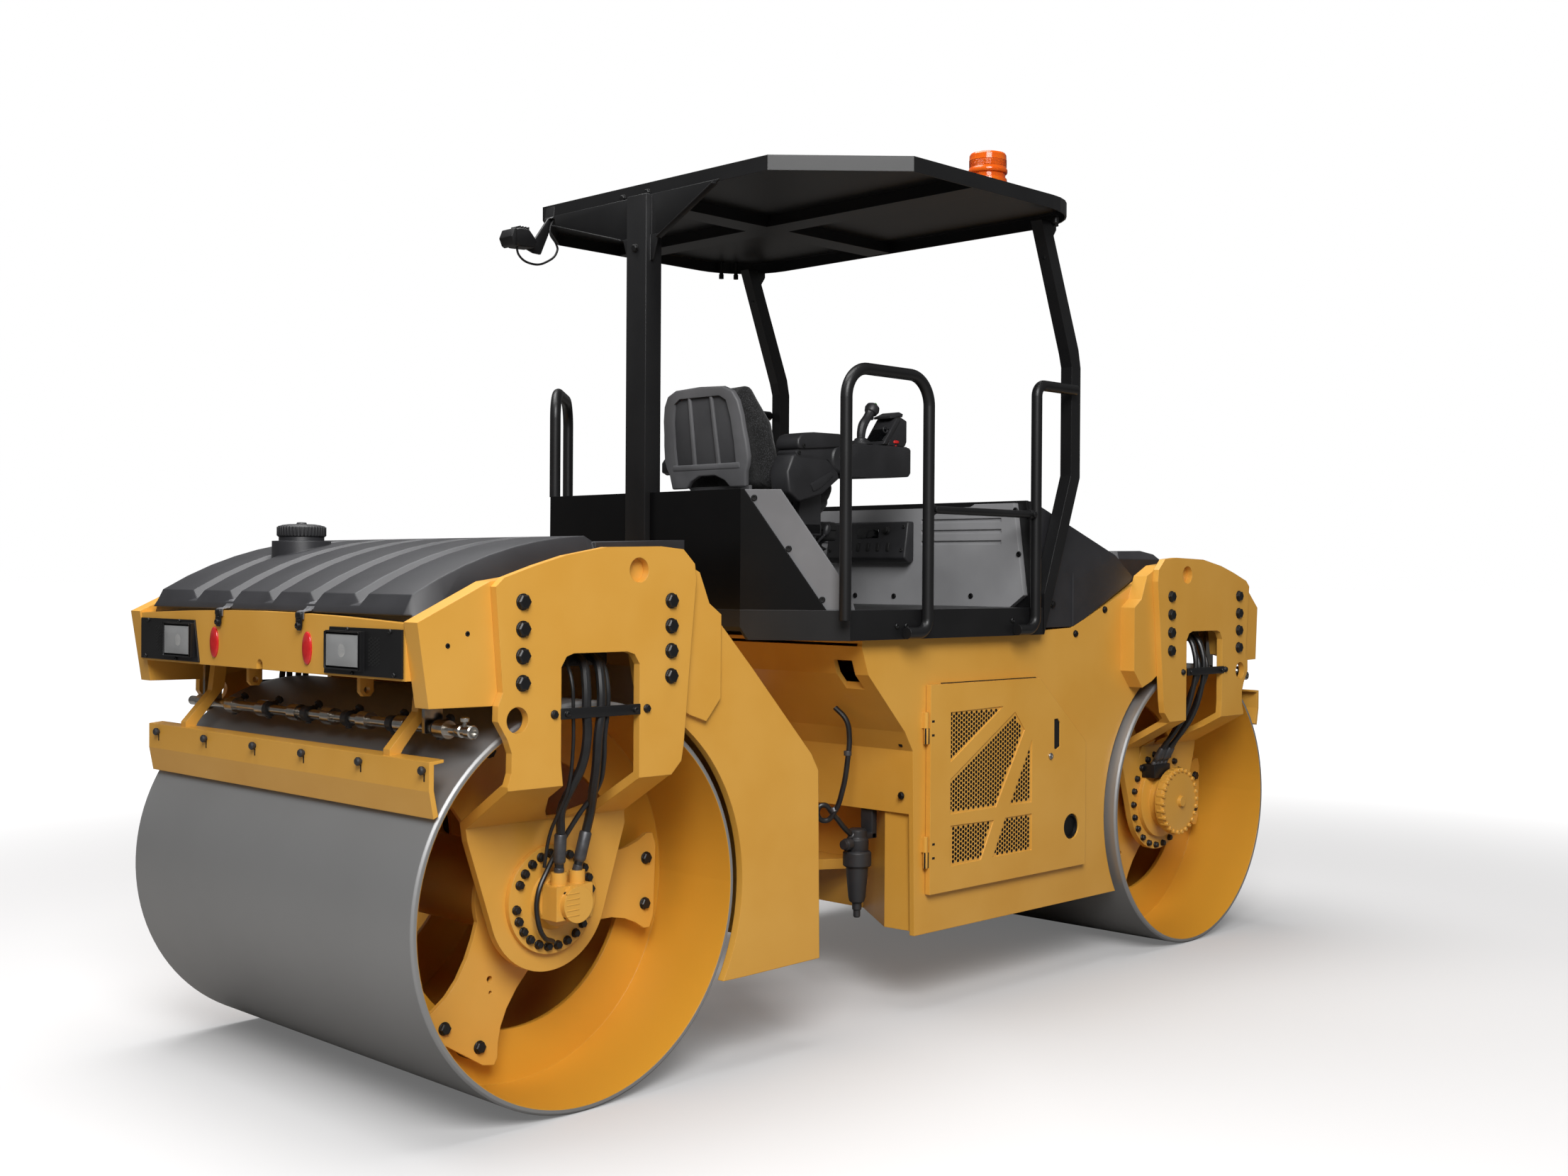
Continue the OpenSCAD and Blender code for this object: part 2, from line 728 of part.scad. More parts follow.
module rear_post() {
  color(black) {
    translate([rear_post_x, -rear_post_w / 2, deck_low_z])
      cube([rear_post_d, rear_post_w, rim_low_z - deck_low_z]);
    // Gussets to both sides under the canopy
    both_sides() slab_yz(rear_post_x + 25, rear_post_x + 37) polygon([
      [rear_post_w / 2, rim_low_z], [rear_post_w / 2, rim_low_z - 190],
      [rear_post_w / 2 + 20, rim_low_z - 190],
      [330, rim_low_z - 14], [330, rim_low_z]]);
  }
}

// Front post: bent twice, seen from the side by its front edge
module front_post() {
  slab_xz(-post_out_y, -post_out_y + post_w) polygon([
    [521, deck_low_z], [545, 1300], [post_x, 1803], [post_x, 2200], [post_x - 14, 2265],
    [540, rim_low_z],
    [540 - post_d, rim_low_z], [post_x - 14 - post_d, 2247], [post_x - post_d, 2200],
    [post_x - post_d, 1810],
    [521, 1385]]);
  // Gussets at the top, one forward and one across
  slab_xz(-post_out_y + 18, -post_out_y + 30) polygon([
    [532, rim_low_z], [600, rim_low_z], [600, rim_low_z - 20], [558, rim_low_z - 80],
    [544, rim_low_z - 130],
    [532, rim_low_z - 130]]);
}

module right_post() { color(black) front_post(); }
module left_post() { color(black) mirror([0, 1, 0]) front_post(); }

roof_rear_x = -687;
roof_chamfer_x = -364;
roof_chamfer_y = 565;
roof_front_x = 625;
roof_corner_r = 250;

function roof_side(inset) = concat(
  [[roof_rear_x + inset, -roof_chamfer_y + inset * 0.4],
  [roof_chamfer_x + inset * 0.4, -roof_half_w + inset]],
  arc_points(roof_front_x - roof_corner_r, -roof_half_w + roof_corner_r, roof_corner_r - inset, -90, 0, 8));

module roof_outline(inset) {
  points = roof_side(inset);
  n = len(points);
  polygon(concat(points, [for (i = [0:n - 1]) [points[n - 1 - i][0], -points[n - 1 - i][1]]]));
}

module canopy() {
  color(black) {
    difference() {
      slab_xy(rim_low_z, roof_z) roof_outline(0);
      slab_xy(rim_low_z - 1, roof_z - sheet_t) roof_outline(sheet_t);
    }
  }
}

// Beams under the roof: one lengthwise and one crosswise
module canopy_beams() {
  color(black) {
    translate([roof_rear_x + sheet_t, 60, rim_low_z + 2])
      cube([roof_front_x - roof_rear_x - 2 * sheet_t, 110, 40]);
    for (s = [[-1, -roof_half_w + sheet_t], [1, 170]])
      translate([-60, s[1], rim_low_z + 2])
        cube([110, roof_half_w - sheet_t + (s[0] < 0 ? 60 : -170), 40]);
  }
}

beacon_x = 174;
beacon_in = 127;

module beacon() {
  color(amber) translate([beacon_x, -roof_half_w + beacon_in, roof_z]) {
    cylinder(r = 66, h = 40);
    translate([0, 0, 40]) cylinder(r = 58, h = 28);
    translate([0, 0, 68]) cylinder(r = 64, h = 58);
  }
}

module work_light() {
  color(black) translate([roof_rear_x, 520, rim_low_z]) {
    translate([0, -30, -50]) cube([8, 60, 50]);
    translate([-70, -45, -72]) cube([70, 90, 48]);
  }
}

// Rail bent twice, made of straight runs and quarter bends, with a foot height for each leg
module rail_u(x0, x1, foot0, foot1, z1, r) {
  translate([x0, 0, foot0]) cylinder(d = rail_d, h = z1 - r - foot0);
  translate([x1, 0, foot1]) cylinder(d = rail_d, h = z1 - r - foot1);
  translate([x0 + r, 0, z1]) rotate([0, 90, 0]) cylinder(d = rail_d, h = x1 - x0 - 2 * r);
  for (s = [[x0 + r, 90], [x1 - r, 0]])
    translate([s[0], 0, z1 - r]) rotate([90, 0, 0]) rotate([0, 0, s[1]])
      rotate_extrude(angle = 90) translate([r, 0]) circle(d = rail_d);
}

// Foot of a rail: a bend towards the rear and a short run
module rail_foot(x, z, r, run) {
  translate([x - r, 0, z]) rotate([90, 0, 0]) rotate([0, 0, -90])
    rotate_extrude(angle = 90) translate([r, 0]) circle(d = rail_d);
  translate([x - r - run, 0, z - r]) rotate([0, 90, 0]) cylinder(d = rail_d, h = run);
}

rail_y = deck_half_w + rail_d / 2;
rear_rail_x0 = -545;
rear_rail_x1 = -145;
rear_rail_top_z = 2090;
front_rail_x = 445;
front_rail_top_z = 2115;

// Right rail along the side, left rail set across the platform's rear corner
left_rail_x = -400;
rail_low_z = deck_z - 30;
rail_bend_r = 95;

module rear_handrails() {
  color(black) {
    translate([0, -rail_y, 0]) {
      rail_u(rear_rail_x0, rear_rail_x1, rail_low_z, rail_low_z, rear_rail_top_z, rail_bend_r);
      rail_foot(rear_rail_x1, rail_low_z, 45, 60);
    }
    translate([left_rail_x, rail_y, 0]) {
      // Its rear leg stands on the panel's upper edge
      rotate([0, 0, 45])
        rail_u(rear_rail_x0 - rear_rail_x1, 0, panel_top_z, rail_low_z, rear_rail_top_z, rail_bend_r);
      rail_foot(0, rail_low_z, 45, 25);
    }
  }
}

module front_handrails() {
  color(black) both_sides() translate([0, -rail_y, 0]) {
    translate([front_rail_x, 0, rail_low_z])
      cylinder(d = rail_d, h = front_rail_top_z - 40 - rail_low_z);
    rail_foot(front_rail_x, rail_low_z, 45, 60);
    translate([front_rail_x + 40, 0, front_rail_top_z - 40]) rotate([90, 0, 0]) rotate([0, 0, 90])
      rotate_extrude(angle = 90) translate([40, 0]) circle(d = rail_d);
    translate([front_rail_x + 40, 0, front_rail_top_z]) rotate([0, 90, 0])
      cylinder(d = rail_d, h = post_x - post_d - front_rail_x - 40);
  }
}

module gate_bars() {
  color(black) both_sides()
    bar_x(-rail_y + 6, 1661, 13, rear_rail_x1 + rail_d / 2, front_rail_x - rail_d / 2);
}

// Seat
seat_base_z = deck_z + 300;
seat_base_x = -260;
seat_base_l = 310;
pad_r = 38;

module seat_pedestal() {
  color(black) {
    translate([-250, -180, deck_z]) cube([330, 360, 60]);
    for (i = [0:4]) translate([-220 + i % 2 * 12, -150 + i % 2 * 12, deck_z + 60 + i * 34])
      cube([260 - i % 2 * 24, 300 - i % 2 * 24, 34]);
    translate([seat_base_x, -200, seat_base_z - 70]) cube([seat_base_l, 400, 70]);
  }
}

// Cushion: wide at the back, rounded towards its front
module seat_cushion() {
  low_z = seat_base_z + pad_r + seat_gap;
  color(rubber) hull() {
    for (y = [-205, 205], z = [low_z, low_z + 62]) translate([-190, y, z]) sphere(r = pad_r, $fn = 20);
    for (y = [-200, 200]) translate([-20, y, low_z + 55]) sphere(r = pad_r, $fn = 20);
    for (y = [-120, 120]) translate([62, y, low_z + 52]) sphere(r = pad_r, $fn = 20);
    for (y = [-130, 130]) translate([0, y, low_z]) sphere(r = pad_r, $fn = 20);
  }
}

module seat_back() {
  color(rubber) hull() {
    for (y = [-205, 205]) translate([-280, y, deck_z + 440]) sphere(r = pad_r, $fn = 20);
    for (y = [-195, 195]) translate([-325, y, deck_z + 620]) sphere(r = pad_r, $fn = 20);
    for (y = [-130, 130]) translate([-350, y, deck_z + 735]) sphere(r = 34, $fn = 20);
  }
}

module seat_shell() {
  color(grey) {
    hull() {
      for (y = [-200, 200]) translate([-343.5, y, deck_z + 420]) sphere(r = 22, $fn = 16);
      for (y = [-185, 185]) translate([-393.5, y, deck_z + 620]) sphere(r = 20, $fn = 16);
      for (y = [-130, 130]) translate([-406.5, y, deck_z + 740]) sphere(r = 16, $fn = 16);
    }
    // Bracket from the seat's base
    translate([-350, -160, seat_base_z - 45]) cube([seat_base_x + 350, 320, 14]);
    translate([-350, -160, seat_base_z - 45]) cube([16, 320, 150]);
  }
}

// Armrest and control box on the seat's right side
console_y = -300;
console_top_z = 1904;

module console() {
  near_y = console_y - 50;
  color(black) {
    // Armrest with its elbow, and the box that carries the controls
    slab_xz(near_y, console_y + 54) polygon([
      [-395, 1888], [-368, 1915], [-237, 1927], [-112, 1930], [-46, 1922], [-12, console_top_z],
      [262, console_top_z], [270, console_top_z - 8], [270, 1812], [258, 1799], [60, 1786],
      [-66, 1783], [-128, 1800],
      [-160, 1836], [-300, 1838], [-400, 1846]]);
    // Arm down to the seat's base
    slab_xz(near_y + 5, console_y + 50) polygon([
      [-330, 1850], [-180, 1850], [-110, 1800], [-100, 1778], [-185, 1722], [-300, 1690],
      [-350, 1720], [-360, 1790]]);
    translate([-240, console_y + 15, seat_base_z - 55]) cube([110, 35, 150]);
    translate([-240, console_y + 15, seat_base_z - 55]) cube([110, -200 - console_y - 15, 45]);
  }
}

// Control lever and the display that leans back behind it
module joystick() {
  color(black) {
    translate([34, console_y, console_top_z]) {
      cylinder(r1 = 40, r2 = 22, h = 20);
      translate([0, 0, 5]) rotate([0, 10, 0]) cylinder(r = 14, h = 86);
      translate([24, 0, 106]) sphere(r = 25, $fn = 24);
    }
    slab_xz(console_y - 48, console_y + 48) polygon([
      [112, console_top_z], [140, console_top_z], [224, 1998], [210, 2012], [190, 2010]]);
    slab_xz(console_y - 30, console_y + 30) polygon([
      [150, console_top_z], [232, console_top_z], [246, 1936], [246, 2000], [214, 2004]]);
  }
}

// Water tank: an arched shell with five grooves along its top, X rearwards from the machine's middle
tank_rear_a = beam_end_a - 20;
tank_crest_a = beam_end_a - 53;
tank_end_a = axle_x - 47;
shelf_start_a = axle_x - 402;
tank_half_w = beam_in_y - 18;
tank_crest_w = tank_half_w - 25;
tank_side_drop = 52;
arch_r = 1198;
arch_a = 1446;
arch_top_z = 1549;
arch_steps = 7;
groove_step = 221;
groove_w = 68;
groove_floor_w = 26;
groove_depth = 24;
beam_crown_z = 1336;
beam_t = 34;
beam_inset = 6;

function arch_z(a) = arch_top_z - arch_r + sqrt(arch_r * arch_r - pow(a - arch_a, 2));

// Stations along the tank: place, height of the top and depth of the grooves there
tank_stations = concat(
  [[tank_rear_a, 1326, 0], [tank_rear_a - 17, 1358, 0]],
  [for (i = [0:arch_steps])
    let (a = tank_crest_a + (tank_end_a - tank_crest_a) * i / arch_steps)
    [a, arch_z(a), i < arch_steps ? groove_depth : 0]],
  [[tank_end_a - 33, arch_top_z - 18, 0]]);

// Section across the tank, from its left foot over the grooves to its right foot
function tank_section(z, depth) = concat(
  [[tank_half_w, tray_z], [tank_half_w, max(z - tank_side_drop, tray_z + 4)], [tank_crest_w, z]],
  [for (k = [2:-1:-2], e = [[groove_w, 0], [groove_floor_w, depth], [-groove_floor_w, depth],
  [-groove_w, 0]])
    [k * groove_step + e[0] / 2, z - e[1]]],
  [[-tank_crest_w, z], [-tank_half_w, max(z - tank_side_drop, tray_z + 4)], [-tank_half_w, tray_z]]);

module tank_shell() {
  m = len(tank_stations);
  n = len(tank_section(arch_top_z, 0));
  points = [for (s = tank_stations, p = tank_section(s[1], s[2])) [s[0], p[0], p[1]]];
  around = [for (i = [0:m - 2], j = [0:n - 1], half = [0, 1])
    let (a = i * n + j, b = i * n + (j + 1) % n)
    half == 0 ? [a, b, b + n] : [a, b + n, a + n]];
  ends = [[for (j = [n - 1:-1:0]) j], [for (j = [0:n - 1]) (m - 1) * n + j]];
  polyhedron(points = points, faces = concat(around, ends));
}

cap_a = tank_crest_a - 323;
cap_y = 420;
cap_r = 74;
neck_r = 88;
neck_ring_r = 68;
neck_z = arch_z(cap_a) + 22;
neck_ring_h = 13;

module water_tank() {
  color(black) at_end(-1) {
    difference() {
      tank_shell();
      // Step over the end beam
      translate([beam_end_a - beam_inset - beam_t - 2, -tank_half_w - 10, tray_z - 1])
        cube([beam_t + 40, 2 * tank_half_w + 20, beam_crown_z + 2 - tray_z]);
    }
    // Low shelf towards the hinge
    slab_xz(-tank_half_w + 7, tank_half_w - 7) polygon([
      [shelf_start_a, tray_z], [tank_end_a - 25, tray_z], [tank_end_a - 25, arch_top_z - 18],
      [shelf_start_a, arch_top_z - 6]]);
    translate([cap_a, cap_y, tray_z + 20]) cylinder(r = neck_r, h = neck_z - tray_z - 20);
    translate([cap_a, cap_y, neck_z - 1]) cylinder(r = neck_ring_r, h = neck_ring_h + 1);
  }
}

module tank_cap() {
  color(rubber) at_end(-1) translate([cap_a, cap_y, neck_z + neck_ring_h + seat_gap]) {
    cylinder(r = cap_r, h = 33);
    translate([0, 0, 33]) cylinder(r1 = cap_r - 8, r2 = cap_r - 30, h = 7);
  }
}

// Lamps in black plates, two at each end
lamp_plate_t = 5;
lamp_frame_t = 12;

module end_lamps(end) {
  at_end(end) {
    both_sides() {
      slab_yz(end_a(end) - beam_inset, end_a(end) - beam_inset + lamp_plate_t) polygon([
        [-707, 1181], [-343, 1181], [-370, 1303], [-707, 1303]]);
      // Frame of the lamp, with its reflector sunk into it
      translate([end_a(end) - beam_inset + lamp_plate_t, 0, 0]) difference() {
        translate([0, -536, 1193]) cube([lamp_frame_t, 168, 101]);
        translate([lamp_frame_t - 6, -528, 1201]) cube([7, 152, 85]);
      }
    }
  }
}

module rear_lamps() { color(black) end_lamps(-1); }
module front_lamps() { color(black) end_lamps(1); }

// Scraper: an angle with a blade, on two arms that hang from the tray
scraper_gap = 5;
tray_under = tray_z - tray_t - drum_r;

module scraper(end) {
  at_end(end) {
    translate([axle_x, 0, drum_r]) both_sides() {
      slab_xz(-565, -535) polygon([
        [345, tray_under], [385, tray_under], [412, 532], [496, 440], [496, 422], [466, 422],
        [455, 440], [372, 540]]);
    }
    translate([axle_x, 0, drum_r]) slab_xz(-half_w - 5, half_w + 5) polygon([
      [scraper_foot_x, scraper_foot_z], [scraper_foot_x + 14, scraper_foot_z - 6], [505, 350],
      [505, 424],
      [462, 428], [462, 420], [491, 416], [491, 352]]);
  }
}
scraper_angle = 31;
scraper_foot_x = (drum_r + scraper_gap) * cos(scraper_angle);
scraper_foot_z = (drum_r + scraper_gap) * sin(scraper_angle);

module rear_scraper() { color(yellow) scraper(-1); }
module front_scraper() { color(yellow) scraper(1); }

// Spray bar above each drum with eight nozzles
module spray_bar(end) {
  at_end(end) {
    bar_y(axle_x + 383, 1043, 14, -717, 717);
    for (i = [0:7]) bar_y(axle_x + 383, 1043, 24, -640 + i * 182 - 22, -640 + i * 182 + 22);
    both_sides() translate([axle_x + 355, -594, 1030]) cube([56, 12, tray_z - tray_t - 1030]);
  }
}

module rear_spray_bar() { color(steel) spray_bar(-1); }
module front_spray_bar() { color(steel) spray_bar(1); }

// Hinge between the frames: an upright pin block with a lengthwise pin behind it
yoke_z0 = lug_low_z + lug_t + 3;
yoke_z1 = lug_top_z - 3;
eye = [-70, 150];
eye_x = -hinge_back + eye[0];
neck_len = 80;
barrel_y = eye[1];
barrel_base_x = 110;
barrel_r = 42;
rod_r = 22;
eye_h = 28;
barrel_end_x = -hinge_back + 180;

module hitch_yoke() {
  color([0.25, 0.25, 0.27]) {
    translate([-hinge_back, 0, yoke_z0]) cylinder(r = 72, h = yoke_z1 - yoke_z0);
    translate([-hinge_back, 0, lug_low_z - 12])
      cylinder(r = hinge_pin_r, h = lug_top_z + lug_t + 24 - lug_low_z);
    slab_xy(roll_z - 100, roll_z + 100)
      polygon([[-hinge_back, -68], [-gap_a + 60, -100], [-gap_a + 60, 100], [-hinge_back, 68]]);
    bar_x(0, roll_z, roll_pin_r, -gap_a - 150, -gap_a + 70);
    for (z = [roll_z - eye_h / 2 - 22, roll_z + eye_h / 2 + 4]) slab_xy(z, z + 18) difference() {
      union() {
        polygon([[-hinge_back - 130, 0], [-hinge_back, 40], [-hinge_back + eye[0] + 40, eye[1]],
          [-hinge_back + eye[0] - 44, eye[1]]]);
        translate([-hinge_back + eye[0], eye[1]]) circle(r = 46);
      }
      translate([-hinge_back + eye[0], eye[1]]) circle(r = 20);
    }
  }
}

module steering_bracket() {
  difference() {
    union() {
      translate([barrel_base_x, barrel_y]) circle(r = 40);
      translate([barrel_base_x, barrel_y - 40]) square([70, 80]);
    }
    translate([barrel_base_x, barrel_y]) circle(r = 20 + run_gap);
  }
}

module steering_barrel() {
  color([0.2, 0.2, 0.22]) {
    difference() {
      bar_x(barrel_y, roll_z, barrel_r, barrel_end_x, barrel_base_x - 48);
      bar_x(barrel_y, roll_z, rod_r + run_gap, barrel_end_x - 1, barrel_end_x + 240);
    }
    translate([barrel_base_x - 60, barrel_y - 20, roll_z - 12]) cube([60, 40, 24]);
    translate([barrel_base_x, barrel_y, roll_z - 12]) cylinder(r = 34, h = 24);
    translate([barrel_base_x, barrel_y, roll_z - 32]) cylinder(r = 20, h = 64);
  }
}

module steering_rod() {
  color([0.8, 0.8, 0.8]) {
    bar_x(barrel_y, roll_z, rod_r, eye_x + neck_len, barrel_end_x + 130);
    // Flat neck and round eye, thin enough to lie between the yoke's ears
    translate([eye_x, barrel_y - 20, roll_z - eye_h / 2]) cube([neck_len + 10, 40, eye_h]);
    translate([eye_x, barrel_y, roll_z - eye_h / 2]) cylinder(r = 38, h = eye_h);
  }
}

// Water filter that hangs from the flange over the recess
filter_x = -175;
filter_y = -500;
filter_collar_r = 74;
filter_bowl_r = 58;
filter_head_r = 46;
filter_collar_z = 472;

module water_filter() {
  color(rubber) {
    translate([filter_x, filter_y, filter_collar_z]) {
      translate([0, 0, 46]) cylinder(r = filter_head_r, h = 82);
      cylinder(r = filter_collar_r, h = 48);
      translate([0, 0, -122]) cylinder(r1 = filter_bowl_r - 17, r2 = filter_bowl_r, h = 123);
      translate([0, 0, -150]) cylinder(r = 20, h = 30);
      translate([0, 0, -174]) cylinder(r = 12, h = 25);
    }
    // Bracket up to the flange
    slab_xz(filter_y - 30, filter_y + 30) polygon([
      [filter_x, filter_collar_z + 90], [filter_x + 30, filter_collar_z + 90],
      [filter_x + 70, recess_z - 30],
      [filter_x + 70, recess_z], [filter_x + 45, recess_z], [filter_x + 45, recess_z - 24],
      [filter_x, recess_z - 60]]);
  }
}

front_drum();
front_spiders();
front_buffers();
rear_drum();
rear_spiders();
rear_buffers();
front_frame();
front_right_leg();
front_left_leg();
front_hubs();
engine();
front_beam();
right_door();
left_door();
platform();
rear_panel();
rear_liner();
front_panel();
front_frame_cover();
control_panel();
hood();
front_cover();
rear_post();
right_post();
left_post();
canopy();
canopy_beams();
beacon();
work_light();
rear_handrails();
front_handrails();
gate_bars();
seat_pedestal();
seat_cushion();
seat_back();
seat_shell();
console();
joystick();
rear_frame();
rear_right_leg();
rear_left_leg();
rear_hubs();
rear_beam();
water_tank();
tank_cap();
rear_lamps();
front_lamps();
rear_scraper();
front_scraper();
rear_spray_bar();
front_spray_bar();
hitch_yoke();
steering_barrel();
steering_rod();
water_filter();
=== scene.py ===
# Tandem roller: finishes, fittings and soft parts around the fixed frame. Metres, +X forward, +Z up.
import math

import bpy
from mathutils import Matrix, Vector


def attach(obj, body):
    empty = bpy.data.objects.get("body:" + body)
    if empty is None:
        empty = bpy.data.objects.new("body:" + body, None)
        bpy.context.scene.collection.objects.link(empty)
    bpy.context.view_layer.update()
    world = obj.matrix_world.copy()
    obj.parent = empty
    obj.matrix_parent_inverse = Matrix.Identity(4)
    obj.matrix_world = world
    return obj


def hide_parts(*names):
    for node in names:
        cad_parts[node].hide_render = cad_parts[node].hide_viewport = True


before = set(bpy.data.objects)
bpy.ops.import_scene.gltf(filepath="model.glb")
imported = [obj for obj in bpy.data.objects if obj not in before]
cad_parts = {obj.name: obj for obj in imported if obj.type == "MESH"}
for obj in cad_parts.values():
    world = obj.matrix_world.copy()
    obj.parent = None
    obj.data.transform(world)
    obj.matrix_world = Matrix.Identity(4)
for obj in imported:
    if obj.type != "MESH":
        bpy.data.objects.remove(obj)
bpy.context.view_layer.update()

MM = 0.001

# Camera
CAMERA_PLACE = Vector((-4.4721, -4.3392, 1.4434))
CAMERA_YAW = math.radians(45.724)
CAMERA_PITCH = math.radians(-0.422)
CAMERA_ROLL = math.radians(0.369)
CAMERA_LENS = 39.44
CAMERA_SENSOR = 36.0


def make_camera():
    forward = Vector((math.sin(CAMERA_YAW) * math.cos(CAMERA_PITCH),
                      math.cos(CAMERA_YAW) * math.cos(CAMERA_PITCH), math.sin(CAMERA_PITCH)))
    level = Vector((math.cos(CAMERA_YAW), -math.sin(CAMERA_YAW), 0))
    upright = level.cross(forward)
    right = level * math.cos(CAMERA_ROLL) + upright * math.sin(CAMERA_ROLL)
    up = upright * math.cos(CAMERA_ROLL) - level * math.sin(CAMERA_ROLL)
    bpy.ops.object.camera_add(location=CAMERA_PLACE)
    camera = bpy.context.object
    camera.matrix_world = Matrix.Translation(CAMERA_PLACE) @ Matrix((right, up, -forward)).transposed(
        ).to_4x4()
    camera.data.sensor_width = CAMERA_SENSOR
    camera.data.lens = CAMERA_LENS
    bpy.context.scene.camera = camera


make_camera()
bpy.context.scene.view_settings.view_transform = "Standard"


# Nodes and colours
def linear(colour):
    """A colour written as sRGB hex, in linear values with full opacity."""
    parts = [int(colour[i:i + 2], 16) / 255 for i in (1, 3, 5)]
    return [c / 12.92 if c <= 0.04045 else ((c + 0.055) / 1.055) ** 2.4 for c in parts] + [1.0]


def add_node(tree, kind, values=None, links=None, **settings):
    """A node with its settings, its sockets' values and what is linked into its sockets: an output, or a
    node for its first output."""
    node = tree.nodes.new("ShaderNode" + kind)
    for name, value in settings.items():
        setattr(node, name, value)
    for socket, value in (values or {}).items():
        node.inputs[socket].default_value = value
    for socket, source in (links or {}).items():
        output = source.outputs[0] if isinstance(source, bpy.types.Node) else source
        tree.links.new(output, node.inputs[socket])
    return node


def empty_tree(owner):
    """The node tree of a material or world, with nothing in it."""
    owner.use_nodes = True
    owner.node_tree.nodes.clear()
    return owner.node_tree


def new_surface(name, **values):
    """A material with only a Principled shader on its output."""
    surface = bpy.data.materials.new(name)
    tree = empty_tree(surface)
    shader = add_node(tree, "BsdfPrincipled", values)
    add_node(tree, "OutputMaterial", links={"Surface": shader})
    place = add_node(tree, "TexCoord").outputs["Object"]
    return surface, tree, shader, place


def vary_colour(tree, shader, place, colours, size_mm, detail=3.0, spread=(0.35, 0.65)):
    """Clouds of two colours, each cloud about size_mm across."""
    clouds = add_node(tree, "TexNoise", {"Scale": 1 / (size_mm * MM), "Detail": detail}, {"Vector": place})
    ramp = add_node(tree, "ValToRGB", links={"Fac": clouds})
    for stop, at, colour in zip(ramp.color_ramp.elements, spread, colours):
        stop.position = at
        stop.color = linear(colour)
    tree.links.new(ramp.outputs["Color"], shader.inputs["Base Color"])


def grain(tree, shader, place, size_mm, depth_mm, strength, edge_mm):
    """Bumps about size_mm apart on top of edges that are rounded by edge_mm."""
    noise = add_node(tree, "TexNoise", {"Scale": 1 / (size_mm * MM), "Detail": 2.0}, {"Vector": place})
    edge = add_node(tree, "Bevel", {"Radius": edge_mm * MM}, samples=4)
    bump = add_node(tree, "Bump", {"Strength": strength, "Distance": depth_mm * MM},
                    {"Height": noise, "Normal": edge})
    tree.links.new(bump.outputs["Normal"], shader.inputs["Normal"])


# Materials
def plain_surface(name, colours, cloud_mm, bumps=None, **values):
    """Clouds of two colours, each about cloud_mm across, under bumps given as their size, depth, strength
    and the width of the rounded edges. The other values go to the shader's sockets."""
    sockets = {socket.replace("_", " "): value for socket, value in values.items()}
    surface, tree, shader, place = new_surface(name, **sockets)
    vary_colour(tree, shader, place, colours, cloud_mm)
    if bumps:
        grain(tree, shader, place, *bumps)
    return surface


# Two coats of sprayed alkyd enamel: warm yellow, glossy, with a faint orange peel
ENAMEL = plain_surface("machine_enamel", ("#DCA141", "#E1A84A"), 260, (7, 0.3, 0.12, 3),
    Roughness=0.33, IOR=1.45, Coat_Weight=0.12, Coat_Roughness=0.12)
# Black polyester powder coat: even, satin, with a fine texture
COAT = plain_surface("powder_coat", ("#151516", "#1A1A1B"), 180, (3, 0.3, 0.2, 2.5), Roughness=0.38, IOR=1.45)
# Gloss black powder coat of the big folded panels: deep and smooth, with painted shade that makes it darker
# than the other black coat
PANEL_BLACK = plain_surface("panel_black", ("#070708", "#0A0A0B"), 200, (3, 0.2, 0.1, 2.5),
    Roughness=0.3, IOR=1.35)
# Black oxide of small bolts: near black, dull
BOLT = plain_surface("bolt_black", ("#070708", "#0B0B0C"), 20, (2, 0.1, 0.2, 1), Roughness=0.5, IOR=1.4)
# Rotomoulded polyethylene: charcoal, waxy, with a soft pebbled skin
TANK = plain_surface("moulded_tank", ("#27272A", "#2E2E31"), 120, (5, 0.5, 0.25, 6), Roughness=0.46, IOR=1.51)
# Thermoformed ABS lining: grey with a soft sheen, and a paler copy on the front wall as painted light
PANEL, PANEL_PAINTED_LIGHT = [
    plain_surface(name, colours, 200, (3, 0.25, 0.2, 4), Roughness=0.38, IOR=1.53)
    for name, colours in (("grey_panel", ("#6A6A6C", "#747476")), ("panel_painted_light", ("#98989A", "#A2A2A4")))]
# Moulded black ABS of the console and levers: fine spark eroded grain, soft sheen
PLASTIC = plain_surface("control_plastic", ("#272729", "#2E2E30"), 90, (2, 0.25, 0.3, 3),
    Roughness=0.45, IOR=1.53)
# Injection moulded polypropylene of the seat's back: grey with a fine grain, and a darker copy as painted
# shade in the sunk panel
SHELL, SHELL_PAN_SHADE = [plain_surface(name, colours, 120, (2, 0.25, 0.3, 3), Roughness=0.5, IOR=1.49)
    for name, colours in (("shell_plastic", ("#646466", "#6E6E70")),
    ("shell_pan_painted_shade", ("#464648", "#4E4E50")))]
# Zinc plated steel of pipes and fittings: bright grey with soft reflections
STEEL = plain_surface("plain_steel", ("#B9B6B0", "#CFCCC6"), 30, (2, 0.1, 0.15, 1), Metallic=1.0,
    Roughness=0.24)
# Phosphated steel of hose fittings: dark grey with a dull metal sheen
DULL_STEEL = plain_surface("dull_steel", ("#4E4E50", "#5C5C5E"), 20, (2, 0.15, 0.2, 1.5),
    Metallic=0.6, Roughness=0.45)
# Galvanised spring steel strap: pale grey zinc, soft sheen, darker scuffs across it
STRAP = plain_surface("strap_steel", ("#77777A", "#98989B"), 18, (4, 0.2, 0.2, 1), Metallic=0.7,
    Roughness=0.42)
# Painted iron casting of the engine and hitch: dark, with a coarse sand cast skin
IRON = plain_surface("cast_iron", ("#2C2C2F", "#3A3A3D"), 60, (4, 0.8, 0.4, 3), Roughness=0.6, IOR=1.5)
